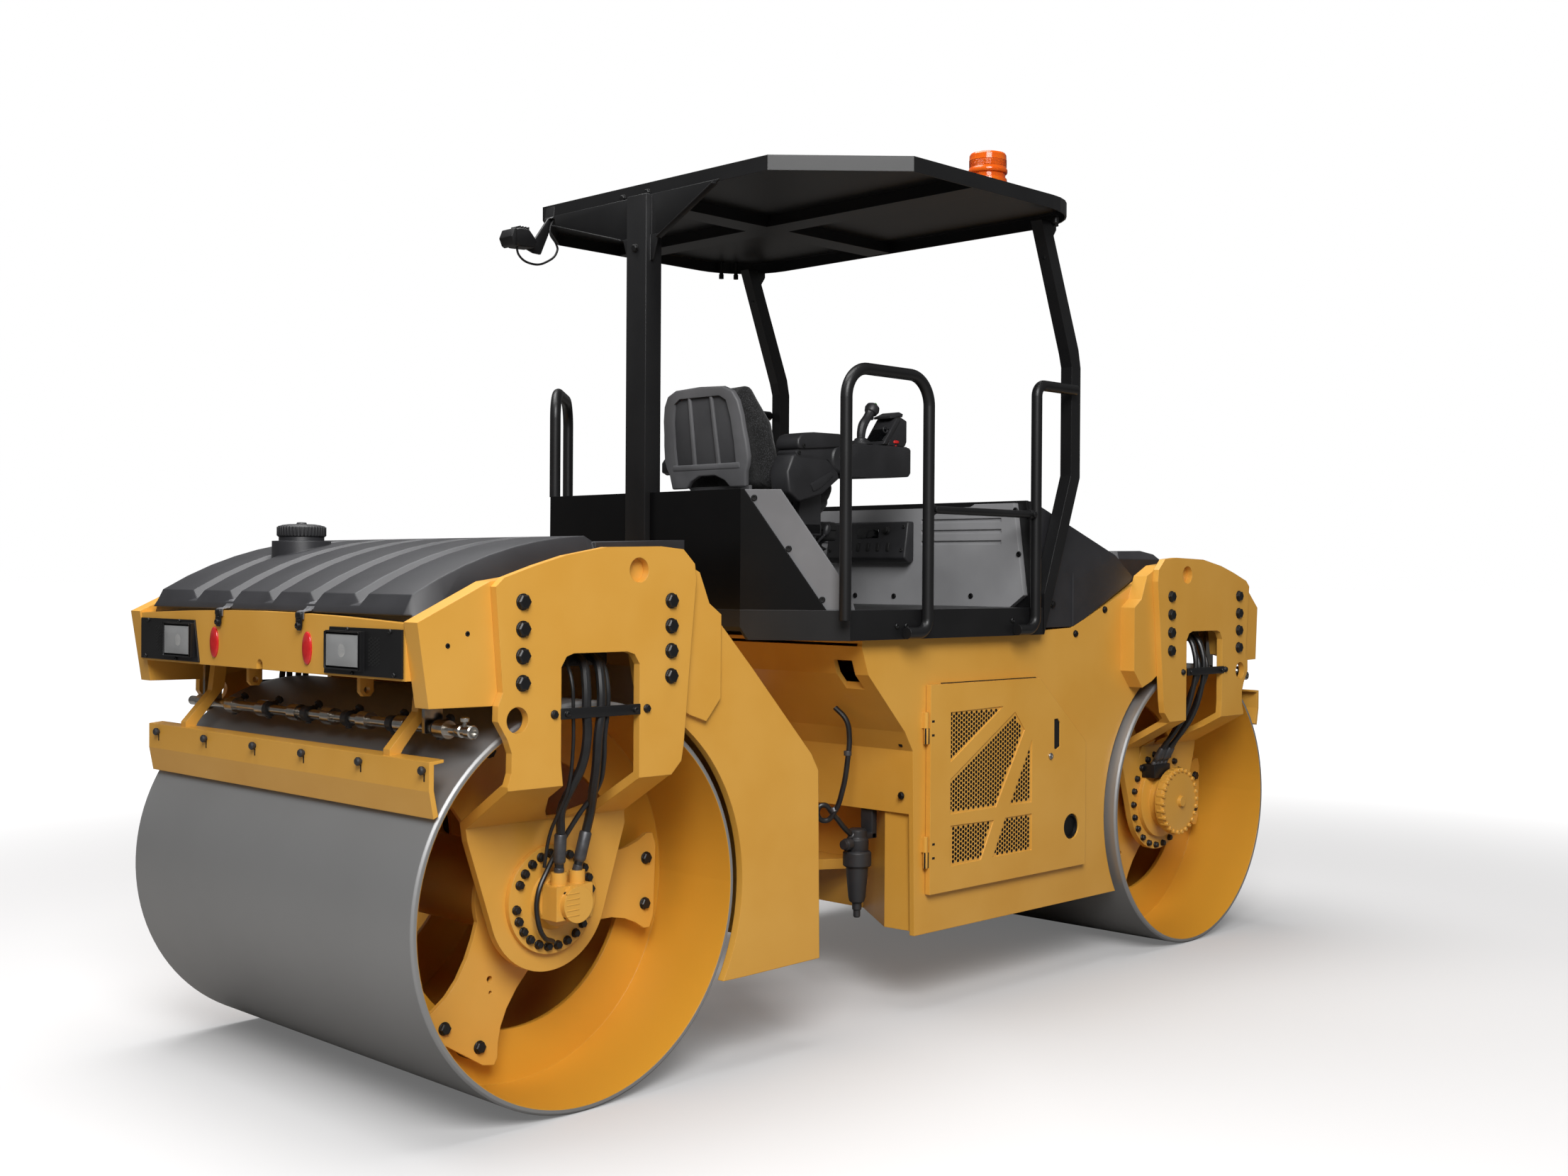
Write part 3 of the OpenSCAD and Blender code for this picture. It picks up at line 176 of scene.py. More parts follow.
# Black nitrile rubber of buffers and boots: dull, with a bloom of grey
RUBBER = plain_surface("soft_rubber", ("#131313", "#1C1C1C"), 25, (2, 0.2, 0.3, 2), Roughness=0.55, IOR=1.52)
# Extruded rubber cover of hydraulic hose: black, satin, faintly ribbed along by its mandrel
HOSE = plain_surface("hose_cover", ("#19191A", "#212122"), 40, (3, 0.15, 0.25, 1), Roughness=0.36, IOR=1.52)
# Amber acrylic of the beacon, lit from inside by daylight
AMBER = plain_surface("amber_lens", ("#EC5A10", "#F57214"), 60, (6, 0.3, 0.2, 2),
    Roughness=0.12, Transmission_Weight=0.25, IOR=1.49)
# Moulded red acrylic reflector with its prisms just showing
RED = plain_surface("red_lens", ("#C81E22", "#D62A2C"), 30, (3, 0.3, 0.4, 1.5),
    Roughness=0.2, IOR=1.49, Coat_Weight=0.5)
# Vacuum metallised lamp bowl: bright, slightly rippled, with painted reflections in its pale and grey clouds
MIRROR = plain_surface("lamp_mirror", ("#8C8C90", "#F4F4F6"), 26, (18, 1.0, 0.4, 1), Metallic=0.4,
    Roughness=0.2)
# Clear pressed glass of the lamps, polished
GLASS = plain_surface("lamp_glass", ("#F4F6F7", "#FBFCFC"), 50, (12, 0.4, 0.15, 1),
    Roughness=0.04, Alpha=0.2, IOR=1.46)
# Hard coated polycarbonate over a display: near black and glossy
SCREEN = plain_surface("screen_glass", ("#08090A", "#0C0D0F"), 60, (20, 0.05, 0.05, 1), Roughness=0.12,
    IOR=1.58)
# Glossy moulded ABS of the push buttons
RED_BUTTON, GREEN_BUTTON, YELLOW_BUTTON = [
    plain_surface(name + "_button", colours, 12, (1, 0.1, 0.1, 1), Roughness=0.3, IOR=1.53)
    for name, colours in (("red", ("#C4201F", "#D12A27")), ("green", ("#3E7A2E", "#478737")),
                          ("yellow", ("#CFA01E", "#DBAD2B")))]
# Painted shade for the unlit inside of a hole or slot: matt black
PITCH = plain_surface("dark_gap", ("#060606", "#0A0A0A"), 20, Roughness=0.9)

SHELL_INNER_R = 0.5365


def drum_shell():
    """Turned steel outside, smooth and soft grey from rolling; sprayed with the machine's enamel inside."""
    surface, tree, shader, place = new_surface("drum_shell", IOR=1.5)
    spread = add_node(tree, "VectorMath", links={0: place}, operation="ABSOLUTE")
    from_axle = add_node(tree, "Mapping", {"Location": (-1.542, 0, -0.552), "Scale": (1, 0, 1)},
                         {"Vector": spread.outputs["Vector"]})
    radius = add_node(tree, "VectorMath", links={0: from_axle.outputs["Vector"]}, operation="LENGTH")
    steel = add_node(tree, "Math", {1: SHELL_INNER_R}, {0: radius.outputs["Value"]},
                     operation="GREATER_THAN").outputs["Value"]
    marks = add_node(tree, "TexNoise", {"Scale": 3.0, "Detail": 3.0}, {"Vector": place})
    shades = add_node(tree, "ValToRGB", links={"Fac": marks})
    for stop, colour in zip(shades.color_ramp.elements, ("#A0A0A0", "#A9A9A9")):
        stop.color = linear(colour)
    paint = add_node(tree, "Mix", {6: linear("#D99C32")}, {0: steel, 7: shades.outputs["Color"]},
                     data_type="RGBA")
    gloss = add_node(tree, "MapRange", {"To Min": 0.38, "To Max": 0.46}, {"Value": steel})
    metal = add_node(tree, "Math", {1: 0.6}, {0: steel}, operation="MULTIPLY")
    tree.links.new(paint.outputs[2], shader.inputs["Base Color"])
    tree.links.new(gloss.outputs["Result"], shader.inputs["Roughness"])
    tree.links.new(metal.outputs["Value"], shader.inputs["Metallic"])
    grain(tree, shader, place, size_mm=14, depth_mm=0.15, strength=0.06, edge_mm=5)
    return surface


def seat_fabric():
    """Woven polyester seat cover: black with pale flecks about 2 mm apart, drawn at 3 mm to show."""
    surface, tree, shader, place = new_surface("seat_fabric", Roughness=0.9,
        **{"Sheen Weight": 0.3, "IOR": 1.45})
    vary_colour(tree, shader, place, ("#101010", "#3C3C3E"), 3.2, detail=1.0, spread=(0.5, 0.68))
    weave = add_node(tree, "TexVoronoi", {"Scale": 1 / (3 * MM)}, {"Vector": place})
    bump = add_node(tree, "Bump", {"Strength": 0.5, "Distance": 0.8 * MM},
        {"Height": weave.outputs["Distance"]})
    tree.links.new(bump.outputs["Normal"], shader.inputs["Normal"])
    return surface


DRUM = drum_shell()
FABRIC = seat_fabric()

# Finish of each CAD node
FINISHES = (
    (DRUM, "front_drum rear_drum"),
    (ENAMEL, "front_spiders rear_spiders front_frame rear_frame front_right_leg front_left_leg "
             "rear_right_leg rear_left_leg front_hubs rear_hubs front_beam rear_beam right_door left_door "
             "rear_scraper front_scraper"),
    (COAT, "platform front_frame_cover rear_post right_post left_post canopy canopy_beams work_light "
           "rear_handrails front_handrails gate_bars console joystick rear_lamps front_lamps"),
    (RUBBER, "front_buffers rear_buffers seat_pedestal seat_cushion seat_back water_filter"),
    (IRON, "engine hitch_yoke steering_barrel"),
    (STEEL, "rear_spray_bar front_spray_bar steering_rod"),
    (TANK, "hood front_cover water_tank tank_cap"),
    (PANEL, "rear_liner seat_shell"),
    (PANEL_BLACK, "rear_panel"), (PANEL_PAINTED_LIGHT, "front_panel"), (PLASTIC, "control_panel"), (AMBER, "beacon"),
)

for finish, names in FINISHES:
    for node_name in names.split():
        node_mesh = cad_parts[node_name].data
        node_mesh.materials.clear()
        node_mesh.materials.append(finish)


# Modelling as by hand, in millimetres
def only(piece):
    bpy.ops.object.select_all(action="DESELECT")
    piece.select_set(True)
    bpy.context.view_layer.objects.active = piece


def edit_all():
    bpy.ops.object.mode_set(mode="EDIT")
    bpy.ops.mesh.select_all(action="SELECT")


def leave_edit():
    bpy.ops.object.mode_set(mode="OBJECT")


def settle(piece):
    """Put the piece's place, turn and scale into its mesh."""
    only(piece)
    bpy.ops.object.transform_apply(location=True, rotation=True, scale=True)
    return piece


def finish_with(piece, kind, **settings):
    """Add one modifier and apply it."""
    only(piece)
    modifier = piece.modifiers.new(kind.title(), kind)
    for name, value in settings.items():
        setattr(modifier, name, value)
    bpy.ops.object.modifier_apply(modifier=modifier.name)
    return piece


def round_edges(piece, width, segments=2, angle=35):
    return finish_with(piece, "BEVEL", width=width * MM, segments=segments, limit_method="ANGLE",
                       angle_limit=math.radians(angle))


def flat_face(outline, axis, place):
    """One face with these corners, flat across an axis, ready in edit mode with all of it selected."""
    bpy.ops.object.select_all(action="DESELECT")
    bpy.ops.mesh.primitive_circle_add(vertices=len(outline), radius=1, fill_type="NGON")
    piece = bpy.context.object
    others = [i for i in range(3) if i != axis]
    for vertex, corner in zip(piece.data.vertices, outline):
        vertex.co[axis] = place * MM
        for i, value in zip(others, corner):
            vertex.co[i] = value * MM
    edit_all()
    return piece


def close_up(piece):
    """Leave edit mode with every face turned outwards."""
    bpy.ops.mesh.select_all(action="SELECT")
    bpy.ops.mesh.normals_make_consistent(inside=False)
    leave_edit()
    return piece


def plate(outline, axis, low, high, edge=0.0, rounds=2):
    """An outline pushed along one axis from low to high, with its edges rounded."""
    piece = flat_face(outline, axis, low)
    travel = [(high - low) * MM if i == axis else 0 for i in range(3)]
    bpy.ops.mesh.extrude_region_move(TRANSFORM_OT_translate={"value": travel})
    close_up(piece)
    return round_edges(piece, edge, rounds) if edge else piece


def block(low, high, edge=0.0, rounds=2):
    """A box between two corners with its edges rounded."""
    bpy.ops.object.select_all(action="DESELECT")
    bpy.ops.mesh.primitive_cube_add(size=1, location=[(a + b) / 2 * MM for a, b in zip(low, high)],
                                    scale=[(b - a) * MM for a, b in zip(low, high)])
    piece = settle(bpy.context.object)
    return round_edges(piece, edge, rounds) if edge else piece


def turned(profile, place=(0, 0, 0), axis=(0, 0, 1), sides=32):
    """A closed round piece through rings of (radius, height) along its axis."""
    ring = [(math.cos(i * math.tau / sides), math.sin(i * math.tau / sides)) for i in range(sides)]
    radius, height = profile[0]
    piece = flat_face([(radius * x, radius * y) for x, y in ring], 2, height)
    for next_radius, next_height in profile[1:]:
        push_out(0, next_height - height)
        grow = next_radius / radius
        bpy.ops.transform.resize(value=(grow, grow, 1), center_override=(0, 0, next_height * MM))
        radius, height = next_radius, next_height
    close_up(piece)
    piece.rotation_euler = Vector(axis).to_track_quat("Z", "Y").to_euler()
    piece.location = Vector(place) * MM
    return settle(piece)


def tube(points, radius, widths=None, fine=8):
    """A round bar or hose along a smooth line through the points."""
    bpy.ops.object.select_all(action="DESELECT")
    bpy.ops.curve.primitive_bezier_curve_add()
    piece = bpy.context.object
    curve = piece.data
    curve.dimensions = "3D"
    curve.resolution_u = fine
    curve.bevel_depth = radius * MM
    curve.bevel_resolution = 3
    curve.use_fill_caps = True
    spots = curve.splines[0].bezier_points
    spots.add(len(points) - 2)
    for i, (spot, point) in enumerate(zip(spots, points)):
        spot.co = Vector(point) * MM
        spot.handle_left_type = spot.handle_right_type = "AUTO"
        spot.radius = widths[i] if widths else 1.0
    only(piece)
    bpy.ops.object.convert(target="MESH")
    return bpy.context.object


def joined(*pieces):
    only(pieces[0])
    for piece in pieces[1:]:
        piece.select_set(True)
    bpy.ops.object.join()
    return bpy.context.object


def copied(piece):
    only(piece)
    bpy.ops.object.duplicate(linked=False)
    return bpy.context.object


def cut(piece, tool):
    """Take the tool's form out of the piece. The tool is used up."""
    finish_with(piece, "BOOLEAN", operation="DIFFERENCE", object=tool, solver="MANIFOLD")
    bpy.data.objects.remove(tool)
    return piece


def push_out(x, z):
    """Extrude what is selected and move it along X and Z."""
    bpy.ops.mesh.extrude_region_move(TRANSFORM_OT_translate={"value": (x * MM, 0, z * MM)})


def repeated(model, spots):
    """Copies of a small model at each (place, direction), joined into one piece. The model is used up."""
    copies = []
    for place, direction in spots:
        copy = copied(model)
        copy.location = Vector(place) * MM
        copy.rotation_euler = Vector(direction).to_track_quat("Z", "Y").to_euler()
        copies.append(copy)
    bpy.data.objects.remove(model)
    return settle(joined(*copies))


def turned_about(piece):
    """A copy on the machine's other end and other side."""
    copy = copied(piece)
    copy.rotation_euler = (0, 0, math.pi)
    return settle(copy)


def fit(name, piece, surface, body="front_half", instead="", smooth=35):
    """Name and shade a finished piece, give it its material and body, and hide the node it stands for."""
    piece.name = name
    only(piece)
    bpy.ops.object.shade_smooth_by_angle(angle=math.radians(smooth))
    piece.data.materials.clear()
    piece.data.materials.append(surface)
    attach(piece, body)
    if instead:
        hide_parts(instead)
    return piece


# Bolts
AXLE_X = 1542
AXLE_Z = 552
HALVES = {-1: "rear_half", 1: "front_half"}
ROLLERS = {-1: "rear_roller", 1: "front_roller"}
ENDS = {-1: "rear", 1: "front"}


def hex_bolt(radius, height):
    """A hex head with a chamfered top on its washer."""
    washer = turned([(radius * 1.08, 0), (radius * 1.08, 2.5), (radius, 3)], sides=20)
    head = turned([(radius, 2), (radius, height - 3), (radius * 0.8, height)], sides=6)
    return joined(washer, head)


def cap_screw(radius, height):
    """A round head with a socket."""
    return turned([(radius, 0), (radius, height - 2), (radius - 1.5, height),
                            (radius * 0.5, height), (radius * 0.45, height - 3)], sides=16)


LEG_BOLT_X = (1796.8, 1288.4)
LEG_BOLT_Z = (1371.5, 1302, 1233, 1163.5)
LEG_FACE_Y = 800
CLAMP_BOLT_X = (1694, 1376)
CLAMP_BOLT_Z = 1078
HUB_RING_R = 128
HUB_FACE_Y = 608
MOTOR_RING_R = 184
MOTOR_FACE_Y = 590
MOTOR_BOLTS = 22
RIM_RING_R = 124
RIM_FACE_Y = 664
RIM_PINS = 26
SPIDER_RING_R = 430
SPIDER_FACE_Y = 501
ARM_ANGLES = (-2, 118, 238)
BUFFER_STEP = 9


def on_sides(spots, y):
    """Places at (x, z) on the faces at y and -y, each with its way out."""
    return [((x, side * y, z), (0, side, 0)) for side in (-1, 1) for x, z in spots]


def on_end(end, x, spots):
    """Places at (y, z) on the face at x of one end, each with its way out."""
    return [((end * x, y, z), (end, 0, 0)) for y, z in spots]


def on_ring(end, side, radius, y, degrees, way=1):
    """Places at these angles round the axle of one end, on one side's face at y."""
    turns = [math.radians(angle) for angle in degrees]
    return [((end * AXLE_X + way * radius * math.cos(a), side * y, AXLE_Z + radius * math.sin(a)),
        (0, side, 0)) for a in turns]


def make_bolts():
    for end in (-1, 1):
        half = HALVES[end]
        leg = on_sides([(end * x, z) for x in LEG_BOLT_X for z in LEG_BOLT_Z], LEG_FACE_Y)
        clamp = on_sides([(end * x, CLAMP_BOLT_Z) for x in CLAMP_BOLT_X], LEG_FACE_Y)
        hub = on_ring(end, end, HUB_RING_R, HUB_FACE_Y, [15 * i + 6 for i in range(24) if i % 12 != 11])
        motor = on_ring(end, -end, MOTOR_RING_R, MOTOR_FACE_Y,
                        [360 / MOTOR_BOLTS * i + 2.4 for i in range(MOTOR_BOLTS)], end)
        arms = [arm + step for arm in ARM_ANGLES for step in (-BUFFER_STEP, BUFFER_STEP)]
        spider = [spot for side in (-1, 1) for spot in on_ring(end, side, SPIDER_RING_R, SPIDER_FACE_Y, arms)]
        rim = on_ring(end, -end, RIM_RING_R, RIM_FACE_Y, [i * 360 / RIM_PINS for i in range(RIM_PINS)])
        pin = turned([(9, 0), (9, 30), (7, 33), (3, 33), (3, 31)], sides=12)
        for name, model, spots, surface, body in (("_leg_bolts", hex_bolt(20, 14), leg, COAT, half),
                ("_clamp_bolts", hex_bolt(11, 9), clamp, COAT, half),
                ("_hub_bolts", hex_bolt(12, 13), hub, COAT, half),
                ("_motor_bolts", hex_bolt(12, 13), motor, COAT, half),
                ("_spider_bolts", hex_bolt(17, 13), spider, COAT, ROLLERS[end]),
                ("_motor_rim", pin, rim, ENAMEL, half)):
            fit(ENDS[end] + name, repeated(model, spots), surface, body)


make_bolts()


# Hoses that drop through the legs to the motors
def hose_run(points, radius, crimp):
    """One hose with its crimped steel fitting at the first point, which the line leaves upwards."""
    first, second = Vector(points[0]), Vector(points[1])
    along = second - first
    hose = tube(points, radius)
    fitting = turned([(crimp * 0.8, 0), (crimp * 0.8, 14), (crimp * 0.6, 18), (crimp * 0.6, 24),
                                 (crimp * 0.92, 30), (crimp, 36), (crimp, along.length - 4),
                                 (crimp * 0.85, along.length)], first, along, sides=20)
    return hose, fitting


VIBRATION_HOSES = ((13, 17, [(-1570, -666, 634), (-1574, -677, 742), (-1590, -700, 808), (-1587, -735, 869),
    (-1575, -765, 929), (-1573, -786, 1011), (-1577, -788, 1080), (-1572, -780, 1150), (-1560, -752, 1205),
    (-1552, -712, 1224)]), (13, 17, [(-1508, -666, 634), (-1486, -677, 740), (-1489, -700, 798),
    (-1509, -735, 862), (-1524, -765, 925), (-1535, -786, 1010), (-1527, -788, 1080), (-1521, -780, 1150),
    (-1511, -752, 1205), (-1504, -712, 1224)]),)
THIN_HOSES = (
    (7, [(-1556, -624, 440), (-1600, -640, 462), (-1624, -642, 520), (-1622, -642, 580), (-1590, -640, 640),
         (-1560, -652, 700), (-1522, -690, 790), (-1490, -735, 870), (-1500, -768, 940), (-1510, -783, 1010),
         (-1503, -786, 1080), (-1497, -778, 1150), (-1490, -750, 1200), (-1486, -712, 1224)]),
    (5, [(-1600, -640, 650), (-1604, -668, 740), (-1604, -712, 815), (-1606, -750, 880), (-1614, -778, 980),
         (-1620, -786, 1075), (-1622, -782, 1160), (-1616, -752, 1205), (-1606, -712, 1226)]),
)
DRIVE_HOSES = tuple((10, 13, [(1436 + 27 * i, -632, 700), (1446 + 28 * i, -668 + 8 * (i % 2), 768),
    (1458 + 30 * i, -716 + 22 * (i % 2), 836), (1474 + 31 * i, -752 + 28 * (i % 2), 905),
    (1484 + 32 * i, -778 + 22 * (i % 2), 1000), (1490 + 30 * i, -788 + 4 * (i % 2), 1080),
    (1494 + 29 * i, -780 + 14 * (i % 2), 1150), (1498 + 27 * i, -752 + 10 * (i % 2), 1205),
    (1502 + 27 * i, -712, 1224)]) for i in range(4))


def make_hoses():
    for kind, runs in (("vibration", VIBRATION_HOSES), ("drive", DRIVE_HOSES)):
        end = -1 if kind == "vibration" else 1
        hoses, fittings = zip(*[hose_run(points, radius, crimp) for radius, crimp, points in runs])
        extra = [tube(points, radius) for radius, points in THIN_HOSES] if kind == "vibration" else []
        middle = end * AXLE_X
        bar = block((middle - 131, -803, 1063), (middle + 142, -795, 1092), 2)
        ends = [repeated(cap_screw(8, 8), [((middle + x, -803, 1077), (0, -1, 0)) for x in (-112, 122)])]
        root = block((middle - 96, -716, 1196), (middle + 96, -690, 1252), 4)
        hose_set = joined(*hoses, *extra)
        steel_set = joined(*fittings)
        black_set = joined(bar, root, *ends)
        if kind == "drive":
            valve = block((1420, -650, 648), (1536, -590, 702), 4)
            black_set = joined(black_set, valve)
        for name, piece, surface in (("_hoses", hose_set, HOSE), ("_fittings", steel_set, DULL_STEEL),
                                     ("_clamps", black_set, COAT)):
            fit("far_" + kind + name, turned_about(piece), surface, HALVES[-end])
            fit(kind + name, piece, surface, HALVES[end])


make_hoses()


# Perforated doors: blind holes in five fields
FIELDS = (
    ((26, 822), (26, 989), (314, 995)),
    ((26, 648), (26, 765), (383, 972), (440, 906), (276, 650)),
    ((355, 650), (483, 868), (483, 648)),
    ((28, 474), (28, 609), (265, 605), (194, 477)),
    ((261, 479), (330, 607), (484, 607), (484, 479)),
)
HOLE_R = 6.4
COLUMN_STEP = 13.6
ROW_STEP = 15.7
FIELD_Y = -733
HOLE_DEPTH = 6


def inside(outline, x, z, margin):
    """True if the point lies inside a convex outline, this far from its edges."""
    turns = []
    for (x0, z0), (x1, z1) in zip(outline, outline[1:] + outline[:1]):
        edge = math.hypot(x1 - x0, z1 - z0)
        turns.append(((x1 - x0) * (z - z0) - (z1 - z0) * (x - x0)) / edge)
    return all(t >= margin for t in turns) or all(t <= -margin for t in turns)


def hole_grid():
    """Drills for the holes, one at each place of a staggered grid that lies well inside a field."""
    grid = [(33 + COLUMN_STEP * i, 480 + ROW_STEP * (j + i % 2 / 2)) for i in range(34) for j in range(34)]
    spots = [((x, FIELD_Y, z), (0, -1, 0)) for x, z in grid
        if any(inside(field, x, z, HOLE_R) for field in FIELDS)]
    return repeated(turned([(HOLE_R, -HOLE_DEPTH), (HOLE_R, 3)], sides=8), spots)


def merged_copy(node):
    """A copy of a node's mesh with its loose triangles joined up."""
    piece = copied(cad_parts[node])
    piece.parent = None
    for key in list(piece.keys()):
        del piece[key]
    edit_all()
    bpy.ops.mesh.remove_doubles(threshold=0.01 * MM)
    bpy.ops.mesh.dissolve_limited(angle_limit=math.radians(0.5))
    leave_edit()
    return piece


def make_doors():
    door = round_edges(merged_copy("right_door"), 2.5)
    cut(door, hole_grid())
    door.data.materials.clear()
    # The walls and floors of the blind holes take the matt black: painted shade inside them
    for surface in (ENAMEL, PITCH):
        door.data.materials.append(surface)
    for face in door.data.polygons:
        depths = [door.data.vertices[i].co.y / MM for i in face.vertices]
        in_hole = max(depths) < FIELD_Y + HOLE_DEPTH + 0.1 and min(depths) > FIELD_Y - 0.1
        face.material_index = 1 if in_hole and sum(depths) / len(depths) > FIELD_Y + 0.2 else 0
    other = copied(door)
    other.scale = (1, -1, 1)
    settle(other)
    edit_all()
    bpy.ops.mesh.flip_normals()
    leave_edit()
    for panel, side, node in ((door, "right", "right_door"), (other, "left", "left_door")):
        panel.name = node + "_panel"
        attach(panel, side + "_service_door")
        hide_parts(node)
        sign = -1 if side == "right" else 1
        lock = turned([(12, 0), (12, 4), (10, 6), (4, 6), (3.5, 4.5)], (593, sign * 737, 803), (0, sign, 0),
            24)
        fit(side + "_door_lock", lock, STEEL, side + "_service_door")


make_doors()


# Rear end: lamps, reflectors and the tank's straps
BEAM_FACE = 2091
FRONT_FACE = 1988
PLATE_FACE = 5
STRAP_Y = (-221, 221)
TANK_CREST_X = 2044
TANK_END_X = 1495
GROOVE_DEPTH = 24


def tank_top(x):
    """Height of the tank's arch at this distance from the machine's middle."""
    return 351 + math.sqrt(1198 ** 2 - (x - 1446) ** 2)


def make_lamps():
    """Glass lamps in rounded frames, with black discs as painted shade for the holes in the plate beside
    them.
    """
    for end, face in ((-1, BEAM_FACE + PLATE_FACE), (1, FRONT_FACE + PLATE_FACE)):
        frames, bowls, glasses, bulbs = [], [], [], []
        for side in (-1, 1):
            low, high = sorted((side * 370, side * 534))
            rim = flat_face([(low, 1195), (high, 1195), (high, 1292), (low, 1292)], 0, end * (face + 12))
            bpy.ops.mesh.inset(thickness=9 * MM)
            bpy.ops.mesh.select_all(action="INVERT")
            push_out(end * 5, 0)
            frames.append(round_edges(close_up(rim), 3, 3))
            low, high = low + 7, high - 7
            bowls.append(dished((low, 1203), (high, 1284), end * (face + 11.2), -end * 4.2))
            glasses.append(dished((low, 1203), (high, 1284), end * (face + 13.5), end * 3))
            bulbs.append(turned([(20, 0), (20, 4), (15, 6), (8, 7)], (end * (face + 7), side * 447, 1243),
                (end, 0, 0), 24))
        screws = [(side * y, z) for side in (-1, 1) for y, z in ((459, 1298), (656, 1297), (480, 1187),
            (674, 1189))]
        holes = [(side * (560 + 9 * i), 1210 + 9 * j + 4.5 * (i % 2)) for side in (-1, 1) for i in range(6)
            for j in range(8)]
        # Black discs on the plate: painted shade for its holes
        hole = turned([(3.4, 0), (3.4, 0.6), (2.6, 0.7)], sides=8)
        reflectors = on_end(end, face - PLATE_FACE, ((-254, 1242), (254, 1242)))
        for name, piece, surface in (
                ("_lamp_rims", joined(*frames), COAT), ("_lamp_bowls", joined(*bowls), MIRROR),
                ("_lamp_glasses", joined(*glasses), GLASS), ("_lamp_bulbs", joined(*bulbs), STEEL),
                ("_lamp_plate_screws", repeated(cap_screw(6, 5), on_end(end, face, screws)), COAT),
                ("_lamp_plate_hole_shades", repeated(hole, on_end(end, face, holes)), PITCH),
                ("_reflectors", repeated(oval(22, 44, 6), reflectors), RED if end < 0 else AMBER)):
            fit(ENDS[end] + name, piece, surface, HALVES[end])


def dished(low, high, x, bulge):
    """A rectangle across X with its middle pushed along X."""
    middle = [(a + b) / 2 * MM for a, b in zip(low, high)]
    half = [(b - a) / 2 * MM for a, b in zip(low, high)]
    bpy.ops.object.select_all(action="DESELECT")
    bpy.ops.mesh.primitive_grid_add(x_subdivisions=12, y_subdivisions=8, size=1)
    piece = bpy.context.object
    piece.rotation_euler = (math.pi / 2, 0, math.pi / 2)
    piece.scale = (2 * half[0], 2 * half[1], 1)
    piece.location = (x * MM, *middle)
    settle(piece)
    for vertex in piece.data.vertices:
        across = (vertex.co.y - middle[0]) / half[0]
        along = (vertex.co.z - middle[1]) / half[1]
        vertex.co.x += bulge * MM * (1 - across ** 4) * (1 - along ** 4)
    return finish_with(piece, "SOLIDIFY", thickness=0.8 * MM, offset=0)


def oval(half_width, half_height, thickness):
    """An oval lens with a rounded edge, its long way up when it is turned to face along X."""
    piece = turned([(10, 0), (10, thickness - 2.5), (9.6, thickness - 1), (8.8, thickness),
        (4, thickness + 0.6)], sides=40)
    piece.scale = (half_width / 10, half_height / 10, 1)
    return settle(piece)


def make_straps():
    """Spring steel straps along two grooves of the tank, held by a slotted buckle on the beam."""
    for y in STRAP_Y:
        side = "right" if y < 0 else "left"
        line = [(-x, tank_top(x) - GROOVE_DEPTH + 2) for x in range(TANK_END_X + 15, TANK_CREST_X - 20, 30)]
        line += [(-(TANK_CREST_X - 14), 1369), (-2054, 1362), (-2066, 1347), (-2074, 1341), (-2084, 1340),
                 (-2094, 1338), (-2095, 1330), (-2095, 1318)]
        fit("strap_" + side, ribbon(line, y, 38, 2.2), STRAP, "rear_half")
        buckle = plate([(y - 15, 1334), (y + 15, 1334), (y + 15, 1298), (y + 9, 1288), (y - 9, 1288),
            (y - 15, 1298)], 0, -2100, -2096.5, 1)
        top = block((-2103, y - 13, 1322), (-2097, y + 13, 1336), 1.5)
        slit = block((-2103, y - 6, 1314), (-2099, y + 6, 1318), 0.8)
        bolt = repeated(cap_screw(9, 8), [((-2099, y, 1301), (-1, 0, 0))])
        fit("strap_buckle_" + side, joined(buckle, top, slit, bolt), COAT, "rear_half")


def ribbon(line, y, width, thickness):
    """A flat strap across Y that follows a line of (x, z) points."""
    bpy.ops.object.select_all(action="DESELECT")
    bpy.ops.mesh.primitive_grid_add(x_subdivisions=len(line) - 1, y_subdivisions=1, size=1)
    piece = bpy.context.object
    order = sorted(range(len(piece.data.vertices)), key=lambda i: (piece.data.vertices[i].co.y,
        piece.data.vertices[i].co.x))
    for i, index in enumerate(order):
        x, z = line[i % len(line)]
        piece.data.vertices[index].co = (x * MM, (y + (width / 2 if i >= len(line) else -width / 2)) * MM,
            z * MM)
    return finish_with(piece, "SOLIDIFY", thickness=thickness * MM, offset=0)


make_lamps()
make_straps()


# Scraper knobs, spray clamps and tap
SCRAPER_X = 2047
SLIT_X = 2047.6
LUG_X = 1943
LUG_EDGE = ((-22, 1180), (-22, 1122), (-12, 1110), (12, 1110), (22, 1122), (22, 1180))
SPRAY_X = 1925
SPRAY_Z = 1043
KNOB_Y = (-734, -445, -160, 104, 389, 690)
CLAMP_Y = (-620, -408, -187, 26, 247, 451, 640)


def spray_clamp():
    """Plastic clamp round the pipe with its nozzle body and cap hanging behind it."""
    ring = turned([(17, -13), (22, -12), (22, 12), (17, 13)], sides=20)
    body = turned([(9, 0), (10, 8), (10, 26), (7, 28), (7, 36), (12, 38), (12, 47), (9, 50)], (0, 0, 0),
        (0.8, 0.6, 0), 12)
    ear = block((-6, -29, -9), (6, -16, 9), 3)
    return joined(ring, body, ear)


